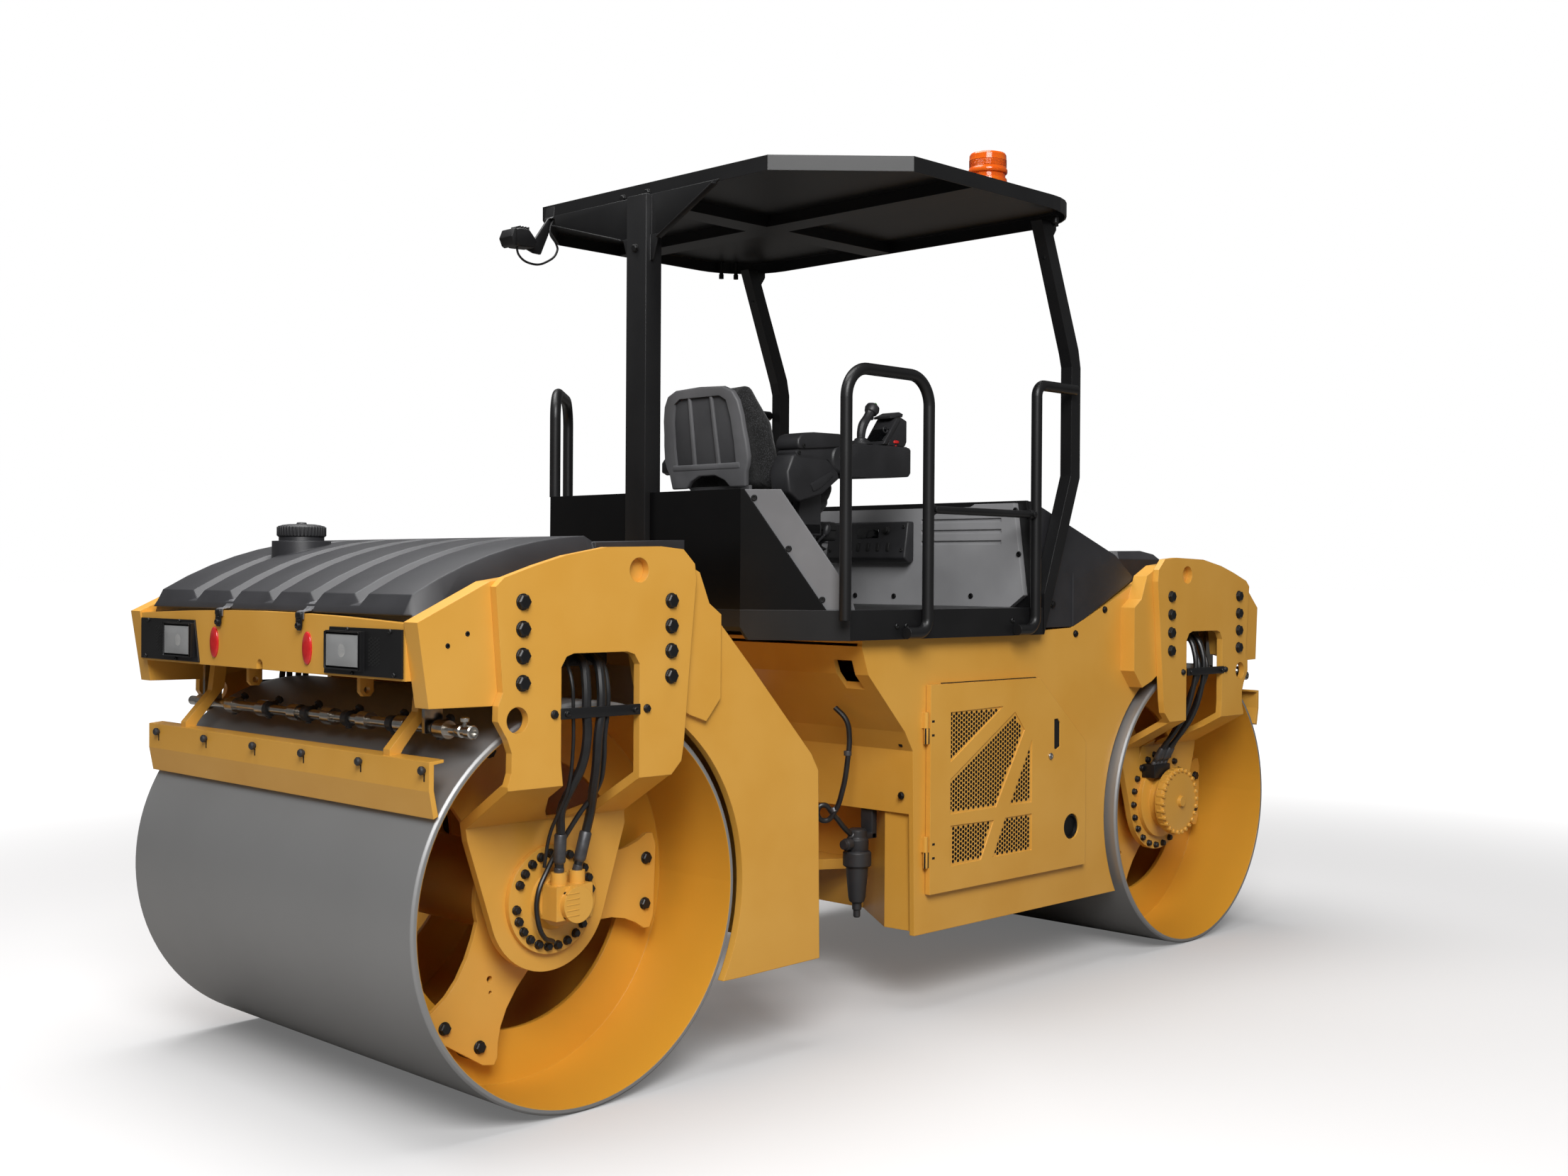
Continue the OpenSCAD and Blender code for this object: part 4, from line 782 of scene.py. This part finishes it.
def make_spray_parts():
    for end in (-1, 1):
        pipe = end * SPRAY_X
        knob = turned([(7, 0), (7, 3), (11, 5), (11.5, 12), (8, 16), (4, 17)], sides=16)
        # Thin black blocks on the scraper: painted shade for its slits
        slot_shades = [block((end * SLIT_X - 0.6, y - 2.5, 926), (end * SLIT_X + 0.6, y + 2.5, 946), 0.5)
            for y in KNOB_Y]
        tap = turned([(15, 0), (17, 3), (17, 22), (13, 25), (13, 44), (18, 47), (18, 66), (15, 69), (9, 69),
            (8, 60)], (pipe, -700, SPRAY_Z), (0, -1, 0), 24)
        stem = turned([(6, 0), (6, 16), (12, 17), (13, 26), (10, 29)], (pipe, -732, SPRAY_Z + 8), sides=16)
        lugs = []
        for y in (-299, 299):
            lug = plate([(end * LUG_X + x, z) for x, z in LUG_EDGE], 1, y - 8, y + 8, 2)
            lugs.append(cut(lug, turned([(9, 0), (9, 17.6)], (end * LUG_X, y + 8.8, 1128), (0, -1, 0), 20)))
        for name, piece, surface in (("_scraper_knobs",
                repeated(knob, on_end(end, SCRAPER_X, [(y, 954) for y in KNOB_Y])), PLASTIC),
                ("_scraper_slot_shades", joined(*slot_shades), PITCH),
                ("_spray_clamps", repeated(spray_clamp(),
                [((pipe, y, SPRAY_Z), (0, end, 0.001)) for y in CLAMP_Y]), PLASTIC),
                ("_spray_tap", joined(tap, stem), STEEL), ("_eye_lugs", joined(*lugs), ENAMEL)):
            fit(ENDS[end] + name, piece, surface, HALVES[end])


make_spray_parts()


# Seat
SHELL_LEAN = math.radians(8)


def stuffed(piece, cap_mm, pressure=4.0, voxel_mm=7.0):
    """Fabric over foam: cloth under pressure, with how far each point may move capped."""
    finish_with(piece, "REMESH", mode="VOXEL", voxel_size=voxel_mm * MM)
    start = [vertex.co.copy() for vertex in piece.data.vertices]
    only(piece)
    cloth = piece.modifiers.new("Cloth", "CLOTH")
    cloth.settings.use_pressure = True
    cloth.settings.uniform_pressure_force = pressure
    cloth.settings.effector_weights.gravity = 0
    cloth.point_cache.frame_start = 1
    cloth.point_cache.frame_end = 20
    for step in range(1, 21):
        bpy.context.scene.frame_set(step)
    bpy.ops.object.modifier_apply(modifier=cloth.name)
    bpy.context.scene.frame_set(1)
    for vertex, rest in zip(piece.data.vertices, start):
        moved = vertex.co - rest
        if moved.length > cap_mm * MM:
            vertex.co = rest + moved.normalized() * cap_mm * MM
    return piece


def sewn(piece, seams, depth_mm, half_mm):
    """Press in the seams. Each is a function that gives a point's distance from it in mm, or None."""
    for vertex in piece.data.vertices:
        for seam in seams:
            away = seam(vertex.co / MM, vertex.normal)
            if away is not None:
                vertex.co -= vertex.normal * depth_mm * MM * math.exp(-(away / half_mm) ** 2)
    return finish_with(piece, "SUBSURF", levels=1, render_levels=1)


def make_seat():
    cushion = merged_copy("seat_cushion")
    cushion.scale = (0.985, 0.97, 1)
    cushion.location = (-0.004, 0, 0.026)
    settle(cushion)
    stuffed(cushion, 9)
    sewn(cushion, [lambda p, n: abs(p.y) - 128 if n.z > 0.2 and p.x < 70 else None,
                   lambda p, n: p.x - 18 if n.z > 0.2 and abs(p.y) < 128 else None,
                   lambda p, n: p.z - 1712 if n.z < 0.6 else None], 4, 7)
    back = merged_copy("seat_back")
    back.scale = (0.88, 0.96, 0.99)
    back.location = (-0.035, 0, 0.016)
    settle(back)
    stuffed(back, 9)
    sewn(back, [lambda p, n: abs(p.y) - 118 if n.x > 0.2 else None,
                lambda p, n: p.z - 1860 if n.x > 0.2 and abs(p.y) < 118 else None,
                lambda p, n: p.z - 1968 if n.x > 0.2 and abs(p.y) < 118 else None], 4, 7)
    for pad, node in ((cushion, "seat_cushion"), (back, "seat_back")):
        fit(node + "_pad", pad, FABRIC, instead=node, smooth=80)


SHELL_EDGE = ((-184, 1748), (-192, 1800), (-204, 1822), (-210, 1850), (-206, 1905), (-200, 1945),
    (-196, 1990), (-184, 2040), (-162, 2074), (-118, 2092), (0, 2097), (118, 2092), (162, 2074), (184, 2040),
    (196, 1990), (200, 1945), (206, 1905), (210, 1850), (204, 1822), (192, 1800), (184, 1748), (110, 1748),
    (85, 1772), (40, 1790), (-40, 1790), (-85, 1772), (-110, 1748))


SHELL_PAN_EDGE = ((-150, 1826), (-150, 1900), (-144, 1985), (-130, 2045), (-100, 2062), (100, 2062),
    (130, 2045), (144, 1985), (150, 1900), (150, 1826))


def make_seat_shell():
    """Moulded back of the seat: a raised outer band, a sunk panel with two ribs, and an arch in its foot."""
    shell = flat_face([(y, z) for y, z in SHELL_EDGE], 0, -383)
    push_out(-22, 0)
    close_up(shell)
    round_edges(shell, 6, 3, 20)
    pan = plate(SHELL_PAN_EDGE, 0, -420, -395, 0)
    cut(shell, pan)
    ribs = [plate([(s * 52, 1822), (s * 68, 1822), (s * 60, 2064), (s * 48, 2064)], 0, -404, -392, 3)
        for s in (-1, 1)]
    band = block((-407, -168, 1812), (-398, 168, 1832), 4)
    return joined(shell, *ribs, band)


def lean(piece, about, angle):
    """Turn a piece about the Y axis through a point (x, z)."""
    x, z = about
    piece.matrix_world = (Matrix.Translation((x * MM, 0, z * MM)) @ Matrix.Rotation(angle, 4, "Y")
                          @ Matrix.Translation((-x * MM, 0, -z * MM)))
    return settle(piece)


def make_seat_frame():
    shell = make_seat_shell()
    lean(shell, (-365, 1760), -SHELL_LEAN)
    bracket = block((-348, -150, 1590), (-334, 150, 1752), 3)
    foot = block((-350, -150, 1590), (-255, 150, 1604), 3)
    fit("seat_back_shell", joined(shell, bracket, foot), SHELL, instead="seat_shell", smooth=40)
    # A darker sheet laid in the sunk panel: painted shade
    pan = plate(SHELL_PAN_EDGE, 0, -395.8, -393, 0.5)
    fit("seat_shell_pan_shade", lean(pan, (-365, 1760), -SHELL_LEAN), SHELL_PAN_SHADE)
    screws = [(-377 - (z - 1760) * 0.19, y, z) for y, z in ((-136, 1775), (137, 1775), (137, 2030),
        (-137, 2030), (33, 2030), (-33, 2030))]
    fit("seat_shell_screws", repeated(cap_screw(6, 4), [(place, (-1, 0, 0.19)) for place in screws]),
        PLASTIC)


def folded(low, high, folds, depth):
    """A bellows between two corners, with this many folds pinched in by a depth."""
    (x0, y0, z0), (x1, y1, z1) = low, high
    piece = flat_face([(x0 + depth, y0), (x1 - depth, y0), (x1, y0 + depth), (x1, y1 - depth),
        (x1 - depth, y1), (x0 + depth, y1), (x0, y1 - depth), (x0, y0 + depth)], 2, z0)
    centre = ((x0 + x1) / 2 * MM, (y0 + y1) / 2 * MM)
    step = (z1 - z0) / folds
    small = (1 - 2 * depth / (x1 - x0), 1 - 2 * depth / (y1 - y0), 1)
    for i in range(folds):
        for part, grow in ((0.35, small), (0.3, (1, 1, 1)), (0.35, tuple(1 / s for s in small))):
            push_out(0, step * part)
            bpy.ops.transform.resize(value=grow, center_override=(*centre, 0))
    close_up(piece)
    return round_edges(piece, 3, 2, 25)


def make_pedestal():
    base = block((-250, -180, 1335), (80, 180, 1395), 12, 3)
    top = block((-260, -200, 1566), (50, 200, 1634), 14, 3)
    slide = block((-240, -206, 1604), (36, -196, 1622), 3)
    other = block((-240, 196, 1604), (36, 206, 1622), 3)
    boot = folded((-228, -158, 1393), (52, 158, 1568), 6, 15)
    fit("seat_suspension_boot", joined(base, boot, top, slide, other), RUBBER, instead="seat_pedestal")
    levers = []
    for foot_x, grip_x, y, low in ((-106, -76, -212, 1470), (-100, -19, -205, 1450)):
        levers.append(tube([(foot_x - 6, y, low), (foot_x, y, 1530), ((foot_x + grip_x) / 2 - 4, y, 1562),
            (grip_x - 4, y, 1592)], 5))
        levers.append(turned([(6, 0), (11, 6), (15, 22), (14, 36), (7, 44)],
                             (grip_x - 8, y, 1584), (0.35, 0, 1), 16))
    root = block((-140, -222, 1436), (-70, -182, 1476), 8)
    fit("seat_levers", joined(root, *levers), PLASTIC)


make_seat()
make_seat_frame()
make_pedestal()


# Console, lever and display
CONSOLE_Y = -300


def make_console():
    near, far = CONSOLE_Y - 50, CONSOLE_Y + 54
    box = plate([(-66, 1783), (60, 1786), (258, 1799), (270, 1812), (270, 1896), (262, 1904), (-40, 1904),
        (-66, 1880), (-90, 1850), (-92, 1806)], 1, near, far, 8, 3)
    lid = plate([(-20, 1902), (258, 1902), (258, 1907), (-20, 1907)], 1, near + 8, far - 8, 2)
    pad = plate([(-320, 1880), (-318, 1898), (-304, 1916), (-280, 1925), (-237, 1929), (-112, 1931),
        (-60, 1924), (-30, 1904), (-60, 1890), (-180, 1878), (-290, 1869), (-312, 1868)], 1, near - 2,
        far + 2, 12, 4)
    shelf = plate([(-318, 1846), (-322, 1860), (-300, 1872), (-150, 1882), (-100, 1890), (-66, 1880),
        (-90, 1840), (-128, 1806), (-160, 1838), (-300, 1840)], 1, near + 6, far - 6, 5, 2)
    elbow = turned([(44, 0), (50, 6), (50, 98), (44, 104)], (-96, far, 1846), (0, -1, 0), 32)
    arm = plate([(-330, 1850), (-180, 1852), (-110, 1806), (-100, 1778), (-185, 1722), (-300, 1690),
        (-350, 1720), (-360, 1790)], 1, near + 7, far - 9, 9, 3)
    inset = plate([(-250, 1752), (-215, 1770), (-150, 1800), (-136, 1786), (-200, 1742), (-236, 1728)], 1,
        near + 3, near + 8, 2)
    post = block((-240, -285, 1580), (-130, -250, 1735), 8)
    foot = block((-240, -285, 1580), (-130, -201, 1625), 6)
    fit("armrest_console", joined(box, lid, pad, shelf, elbow, arm, inset, post, foot), PLASTIC,
        instead="console")
    fit("console_pivot_screw", turned([(10, 0), (10, 3), (8, 5), (4, 5), (3.5, 3)], (-96, near - 1, 1848),
        (0, -1, 0), 20), STEEL)
    fit("console_screws", repeated(cap_screw(7, 4), [((-292, near - 2, 1880), (0, -1, 0)),
        ((-306, near + 6, 1856), (0, -1, 0))]), PITCH)


def make_joystick():
    y = CONSOLE_Y
    boot = turned([(46, 0), (44, 5), (34, 8), (33, 12), (24, 15), (23, 20), (15, 24)], (54, y, 1906),
        sides=28)
    grip = tube([(54, y, 1922), (56, y, 1950), (66, y, 1978), (84, y, 2000), (98, y, 2018), (106, y, 2036)],
                15, (0.95, 1.05, 1.15, 1.05, 1.1, 1.3), 10)
    head = turned([(14, -20), (23, -14), (27, 0), (24, 12), (14, 20)], (112, y, 2034), (0.55, 0, 0.83), 24)
    trigger = block((96, y - 8, 1996), (116, y + 8, 2012), 5, 3)
    fit("drive_lever", joined(boot, grip, head, trigger), PLASTIC, instead="joystick")
    for name, away, surface in (("yellow", 7, YELLOW_BUTTON), ("green", -7, GREEN_BUTTON)):
        button = turned([(6, 0), (6, 3), (4.5, 5)], (121, y + away, 2051), (0.55, 0, 0.83), 16)
        fit(f"drive_lever_{name}_button", button, surface)
    back = plate([(150, 1907), (245, 1907), (255, 1925), (255, 2000), (222, 2012), (206, 2006)], 1, y - 42,
        y + 42, 4)
    face = plate([(118, 1909), (142, 1909), (216, 2002), (210, 2010), (194, 2008)], 1, y - 48, y + 48, 4)
    hood = plate([(168, 2004), (196, 2008), (212, 2014), (232, 2012), (236, 2024), (214, 2030), (190, 2020),
        (166, 2012)], 1, y - 40, y + 40, 2)
    key = tube([(134 + 11 * math.cos(t + 0.2), y - 44, 1962 + 11 * math.sin(t + 0.2)) for t in range(7)], 2.5)
    fit("display_housing", joined(back, face, hood, key), PLASTIC)
    fit("stop_button", turned([(12, 0), (12, 8), (19, 10), (20, 16), (16, 20)], (196, y - 30, 1907),
        sides=24), RED_BUTTON)
    fit("screen", plate([(128, 1922), (196, 2000), (193, 2002), (125, 1924)], 1, y - 38, y + 38, 0.8), SCREEN)


make_console()
make_joystick()


# Rear post with its gussets, and the canopy's bolts and pins
POST_HALF = 50
GUSSETS = ((-1, ((50, 2552), (50, 2702), (372, 2702), (356, 2692), (90, 2556))),
           (1, ((50, 2562), (50, 2702), (470, 2702), (462, 2667), (91, 2566))))


def make_rear_post():
    post = block((-735, -POST_HALF, 1240), (-665, POST_HALF, 2702), 4)
    parts = [post]
    for side, corners in GUSSETS:
        parts.append(plate([(side * y, z) for y, z in corners], 0, -710, -703, 1))
        edge = [corners[4], corners[3]]
        outline = [(side * y, z) for y, z in edge] + [(side * y, z - 5) for y, z in reversed(edge)]
        parts.append(plate(outline, 0, -728, -703, 1))
        foot = [(side * (POST_HALF - 2), 2566), (side * (POST_HALF + 40), 2566),
            (side * (POST_HALF + 12), 2484), (side * (POST_HALF - 2), 2480)]
        parts.append(plate(foot, 0, -716, -711, 1))
    fit("rear_post_frame", joined(*parts), COAT, instead="rear_post")


def make_canopy_fittings():
    bolts = on_end(-1, 687, ((121, 2714), (-4, 2715))) + on_end(-1, 735, ((2, 2525),))
    fit("canopy_rim_bolts", repeated(hex_bolt(13, 11), bolts), BOLT)
    pins = [turned([(8, 0), (8, 52), (10, 54), (10, 72)], (x, side * y, 2745), (0, 0, -1), 16)
            for x, y in ((455, 840), (505, 805)) for side in (-1, 1)]
    fit("canopy_pins", joined(*pins), COAT)


# Beacon: a ribbed dome that screws into a collar
BEACON = (174, -760, 2750)


def make_beacon():
    ribs = [(62 + (i % 2) * 1.6, 76 + i * 2.4) for i in range(10)]
    dome = turned([(52, 2), (64.5, 6), (65, 28), (64, 36), (59, 38), (59, 52), (64.5, 55), (66, 58), (66, 66),
        (64, 70)] + ribs + [(62.5, 104), (62, 116), (58, 122), (48, 125), (20, 126)], BEACON, (0, 0, 1), 48)
    fit("beacon_dome", dome, AMBER, instead="beacon", smooth=30)


# Work light with its wire loop
LIGHT_Y = 520


def make_work_light():
    y = LIGHT_Y
    near, far = y - 44, y + 22
    head = plate([(-890, 2607), (-878, 2634), (-850, 2642), (-811, 2642), (-776, 2606), (-784, 2580),
        (-855, 2576)], 1, near, far, 7, 3)
    rim = plate([(-892, 2606), (-879, 2636), (-868, 2638), (-868, 2574), (-880, 2580)], 1, near - 4, far + 4,
        3)
    fins = [block((-848 + 12 * i, near + 6, 2636), (-844 + 12 * i, far - 6, 2650), 1.5) for i in range(4)]
    bracket = plate([(-806, 2590), (-770, 2604), (-734, 2654), (-700, 2702), (-681, 2702), (-700, 2640),
        (-732, 2569), (-764, 2570), (-806, 2584)], 1, y - 5, y + 5, 2)
    hook = plate([(-700, 2700), (-681, 2700), (-681, 2744), (-687, 2744), (-693, 2706)], 1, y - 24, y + 24, 1)
    wire = tube([(x, y - out, z) for x, out, z in ((-851, 20, 2581), (-838, 20, 2549), (-786, 20, 2528),
        (-721, 20, 2542), (-671, 20, 2591), (-675, 20, 2609), (-698, 12, 2650), (-680, 10, 2704))], 4)
    fit("work_light_head", joined(head, rim, bracket, hook, *fins, wire), COAT, instead="work_light")


# Tank with softened edges, and its ribbed cap
CAP = (-1721, 420)
CAP_FOOT = 1552.3
CAP_RIBS = 44


def make_tank():
    tank = round_edges(merged_copy("water_tank"), 6, 3, 28)
    fit("water_tank_shell", tank, TANK, "rear_half", instead="water_tank", smooth=32)
    x, y = CAP
    cap = turned([(70, 0), (72, 2), (72, 29), (69, 33), (60, 35), (58, 36), (40, 38.5), (16, 39.4), (14, 44),
        (6, 45)], (x, y, CAP_FOOT), (0, 0, 1), 60)
    ribs = [block((x - 1.8, y - 74, CAP_FOOT + 3), (x + 1.8, y - 69, CAP_FOOT + 30), 1)]
    for i in range(1, CAP_RIBS):
        copy = copied(ribs[0])
        turn = Matrix.Rotation(i * math.tau / CAP_RIBS, 4, "Z")
        middle = Vector((x, y, 0)) * MM
        copy.matrix_world = Matrix.Translation(middle) @ turn @ Matrix.Translation(-middle)
        ribs.append(settle(copy))
    fit("water_tank_cap", joined(cap, *ribs), PLASTIC, "rear_half", instead="tank_cap")


# Bolts of the platform's linings and plates
CORNER_BOLTS = ((-681, 510, 1686), (-614, 597, 1527), (-549, 681, 1368))


def make_lining_bolts():
    corner = [((x, side * y, z), (-0.792, side * 0.611, 0)) for side in (-1, 1) for x, y, z in CORNER_BOLTS]
    wall = on_end(-1, -474, [(side * y, z) for side in (-1, 1)
        for y, z in ((98, 1368), (466, 1373), (680, 1524), (664, 1680))])
    gap = on_end(-1, 150, [(side * 671, z) for side in (-1, 1) for z in (892, 720)])
    skirt = on_sides(((-278, 1283), (-231, 1283), (336, 1293)), 755)
    cover = on_sides(((773, 1237), (961, 1323), (1163, 1409), (630, 1345)), 715)
    dots = on_sides(((-1949, 1292), (-2008, 1263)), 775)
    fit("lining_bolts", repeated(cap_screw(10, 5), corner + wall), BOLT)
    fit("skirt_bolts", repeated(cap_screw(9, 6), skirt), COAT)
    fit("frame_bolts", repeated(hex_bolt(12, 8), cover + gap), BOLT)
    fit("beam_plugs", repeated(cap_screw(7, 2), dots), PITCH, "rear_half")


# Control panel on the front wall
def make_control_panel():
    box = plate([(474, 1500), (444, 1492), (416, 1510), (438, 1645), (446, 1648), (474, 1648)], 1, -196, 204,
        7, 3)
    fit("box", box, PLASTIC, instead="control_panel")
    fit("control_screen", plate([(430, 1587), (426, 1587), (432.4, 1626), (436, 1626)], 1, -57, 49, 1),
        SCREEN)
    tilt = (-0.987, 0, 0.16)
    knob = repeated(turned([(17, -2), (17, 3), (13, 5), (12, 13), (9, 15)], sides=24),
        [((433, -95, 1614), tilt)])
    screws = repeated(cap_screw(7, 4), [((x, y, z), tilt) for x, z in ((434.5, 1628), (421, 1540))
        for y in (-178, 186)])
    keys = repeated(block((-7, -16, -2), (7, 16, 6), 3),
        [((424, y, 1552), tilt) for y in (-110, -60, -10, 40, 90)])
    fit("control_knobs", joined(knob, screws, keys), RUBBER)


# Water filter, its taps and the hose down the gap
FILTER_Y = -500
GAP_HOSE = ((-290, -501, 1008), (-275, -537, 968), (-268, -545, 917), (-273, -543, 837), (-277, -523, 730),
    (-285, -498, 664), (-304, -474, 632), (-329, -461, 654), (-318, -470, 684), (-278, -489, 648),
    (-235, -500, 600), (-190, -500, 568))


def make_filter():
    x, y = -175, FILTER_Y
    head = turned([(34, 520), (38, 526), (38, 560), (32, 568), (32, 590), (26, 596)], (x, y, 0), (0, 0, 1),
        32)
    collar = turned([(44, 470), (48, 474), (48, 516), (43, 522)], (x, y, 0), (0, 0, 1), 40)
    bowl = turned([(9, 298), (12, 302), (12, 322), (16, 326), (16, 346), (25, 352), (29, 366), (36, 440),
        (38, 472)], (x, y, 0), (0, 0, 1), 40)
    arms = [block((-130, y - 26, 560), (-104, y + 26, 660), 4),
        block((-190, y - 26, 560), (-106, y + 26, 580), 4)]
    port = turned([(20, 0), (20, 22), (16, 24), (16, 34)], (x - 36, y, 548), (-1, 0, 0), 24)
    fit("water_filter_body", joined(head, collar, bowl, *arms, port), PLASTIC, instead="water_filter")
    fit("gap_hose", tube(GAP_HOSE, 9), HOSE)
    rings = [turned([(13, 0), (13, 14), (11, 16)], place, way, 20)
        for place, way in (((-273, -543, 851), (0, 0, 1)), ((-285, -498, 660), (0, 0.5, 0.86)),
        ((-196, -500, 571), (-0.85, 0, 0.5)))]
    fit("gap_hose_clips", joined(*rings), DULL_STEEL)


# Ribs and screws of the vibration motors
def make_motor_details():
    for end in (-1, 1):
        x, y = end * (AXLE_X + 20), end * 718
        ribs = [block((x - 22, y - 1, AXLE_Z - 30 + 15 * i), (x + 22, y + 5, AXLE_Z - 26 + 15 * i), 1.5)
            for i in range(5)]
        fit(ENDS[end] + "_motor_ribs", joined(*ribs), ENAMEL, HALVES[end])
        screws = [((end * AXLE_X + 44 * math.cos(a), end * 700, AXLE_Z + 44 * math.sin(a)), (0, end, 0))
                  for a in (0.8, 2.4, 3.9, 5.5)]
        fit(ENDS[end] + "_motor_screws", repeated(cap_screw(7, 8), screws), BOLT, HALVES[end])


# Clamps of the gate bars, and painted shade for the slots in the hinge leaves
GATE_Z = 1661


def make_gate_clamps():
    clamps = [turned([(15, 0), (18, 2), (18, 16), (15, 18)], (x, side * 768, GATE_Z), (1, 0, 0), 24)
              for side in (-1, 1) for x in (-128, 408)]
    knobs = [turned([(7, 0), (10, 3), (10, 12), (7, 14)], place, way, 16)
             for place, way in on_sides(((-119, GATE_Z), (417, GATE_Z)), 781)]
    fit("gate_bar_clamps", joined(*clamps, *knobs), COAT)


def make_hinge_slots():
    for side, name in ((-1, "right"), (1, "left")):
        slot_shades = [block((x - 7, side * 736.6 - 0.8, z - 4), (x + 7, side * 736.6 + 0.8, z + 4), 0.7)
                 for x, z in ((-67, 964), (-67, 918), (-62, 557), (-62, 511))]
        fit(name + "_hinge_slot_shades", joined(*slot_shades), PITCH, name + "_service_door")


# Painted shade: black sheets in the gap round the doors and behind their slot, and a black cup behind their
# round hole
DOOR_EDGE = ((-3, 388), (819, 388), (819, 843), (528, 1088), (-3, 1088))


def make_door_shadows():
    for side, name in ((-1, "right"), (1, "left")):
        seam = plate([(x, z) for x, z in DOOR_EDGE], 1, side * 715.2, side * 717.2)
        slot = plate([(610, 939), (645, 940), (656, 924), (656, 830), (626, 818), (612, 825)], 1, side * 718,
            side * 733)
        fit(name + "_door_gap_shade", joined(seam, slot), PITCH, name + "_service_door")
        plug = turned([(46, 0), (46, 8), (43, 13), (38, 13), (36, 4), (4, 3)], (726, side * 720, 538),
            (0, side, 0), 40)
        fit(name + "_door_hole_shade", plug, BOLT, name + "_service_door")


# Left armrest of the seat
def make_armrest():
    pad = plate([(-318, 1876), (-322, 1900), (-300, 1918), (-60, 1922), (-40, 1908), (-42, 1890),
        (-60, 1880)], 1, 262, 318, 12, 4)
    arm = plate([(-340, 1812), (-322, 1800), (-150, 1872), (-150, 1884), (-310, 1884), (-340, 1850)], 1, 270,
        308, 6, 3)
    root = block((-352, 200, 1806), (-318, 300, 1850), 8)
    fit("left_armrest", joined(pad, arm, root), PLASTIC)


make_rear_post()
make_canopy_fittings()
make_beacon()
make_work_light()
make_tank()
make_lining_bolts()
make_control_panel()
make_filter()
make_gate_clamps()
make_hinge_slots()
make_door_shadows()
make_motor_details()
make_armrest()


# Studio: a pale floor under a white sky with two large soft lamps
GLOW_NEAR = 3.2
GLOW_FAR = 9.0
FLOOR_GLOW = 0.13
SKY_LIGHT = 0.14
# Place, aim, size in metres and power in watts
LAMPS = (((-6.0, -7.0, 7.0), (0, 0, 1.0), 5.0, 1020), ((-1.0, 1.0, 8.0), (0, 0, 0.5), 6.0, 760))


def to_camera(tree, others, shown, output):
    """The camera sees one shader, and all other rays meet the other."""
    rays = add_node(tree, "LightPath")
    mix = add_node(tree, "MixShader", links={0: rays, 1: others, 2: shown})
    add_node(tree, output, links={"Surface": mix})


def studio_floor():
    """Matte white paint: it keeps the soft shadow near the machine, and fades to pure white further away."""
    surface = bpy.data.materials.new("studio_floor")
    tree = empty_tree(surface)
    place = add_node(tree, "TexCoord").outputs["Object"]
    away = add_node(tree, "VectorMath", links={0: place}, operation="LENGTH").outputs["Value"]
    glow = add_node(tree, "MapRange", {"From Min": GLOW_NEAR, "From Max": GLOW_FAR, "To Min": FLOOR_GLOW,
        "To Max": 1.0}, {"Value": away}, interpolation_type="SMOOTHSTEP")
    shown_paint, dim_paint = [add_node(tree, "BsdfDiffuse", {"Color": linear(colour)}).outputs["BSDF"]
                              for colour in ("#CBCACA", "#898785")]
    light = add_node(tree, "Emission", {"Color": linear("#FFFFFF")}, {"Strength": glow})
    shown = add_node(tree, "AddShader", links={0: shown_paint, 1: light})
    to_camera(tree, dim_paint, shown.outputs["Shader"], "OutputMaterial")
    return surface


def make_studio():
    bpy.ops.mesh.primitive_plane_add(size=400, location=(0, 0, 0))
    floor = bpy.context.object
    floor.name = "floor"
    floor.data.materials.append(studio_floor())

    world = bpy.data.worlds.new("studio")
    bpy.context.scene.world = world
    tree = empty_tree(world)
    light, seen = [add_node(tree, "Background", {"Color": linear("#FFFFFF"), "Strength": strength})
                   for strength in (SKY_LIGHT, 1.0)]
    to_camera(tree, light.outputs["Background"], seen.outputs["Background"], "OutputWorld")

    for place, aim, size, power in LAMPS:
        bpy.ops.object.light_add(type="AREA", location=place)
        lamp = bpy.context.object
        lamp.data.size = size
        lamp.data.energy = power
        lamp.rotation_euler = (Vector(aim) - Vector(place)).to_track_quat("-Z", "Y").to_euler()


make_studio()
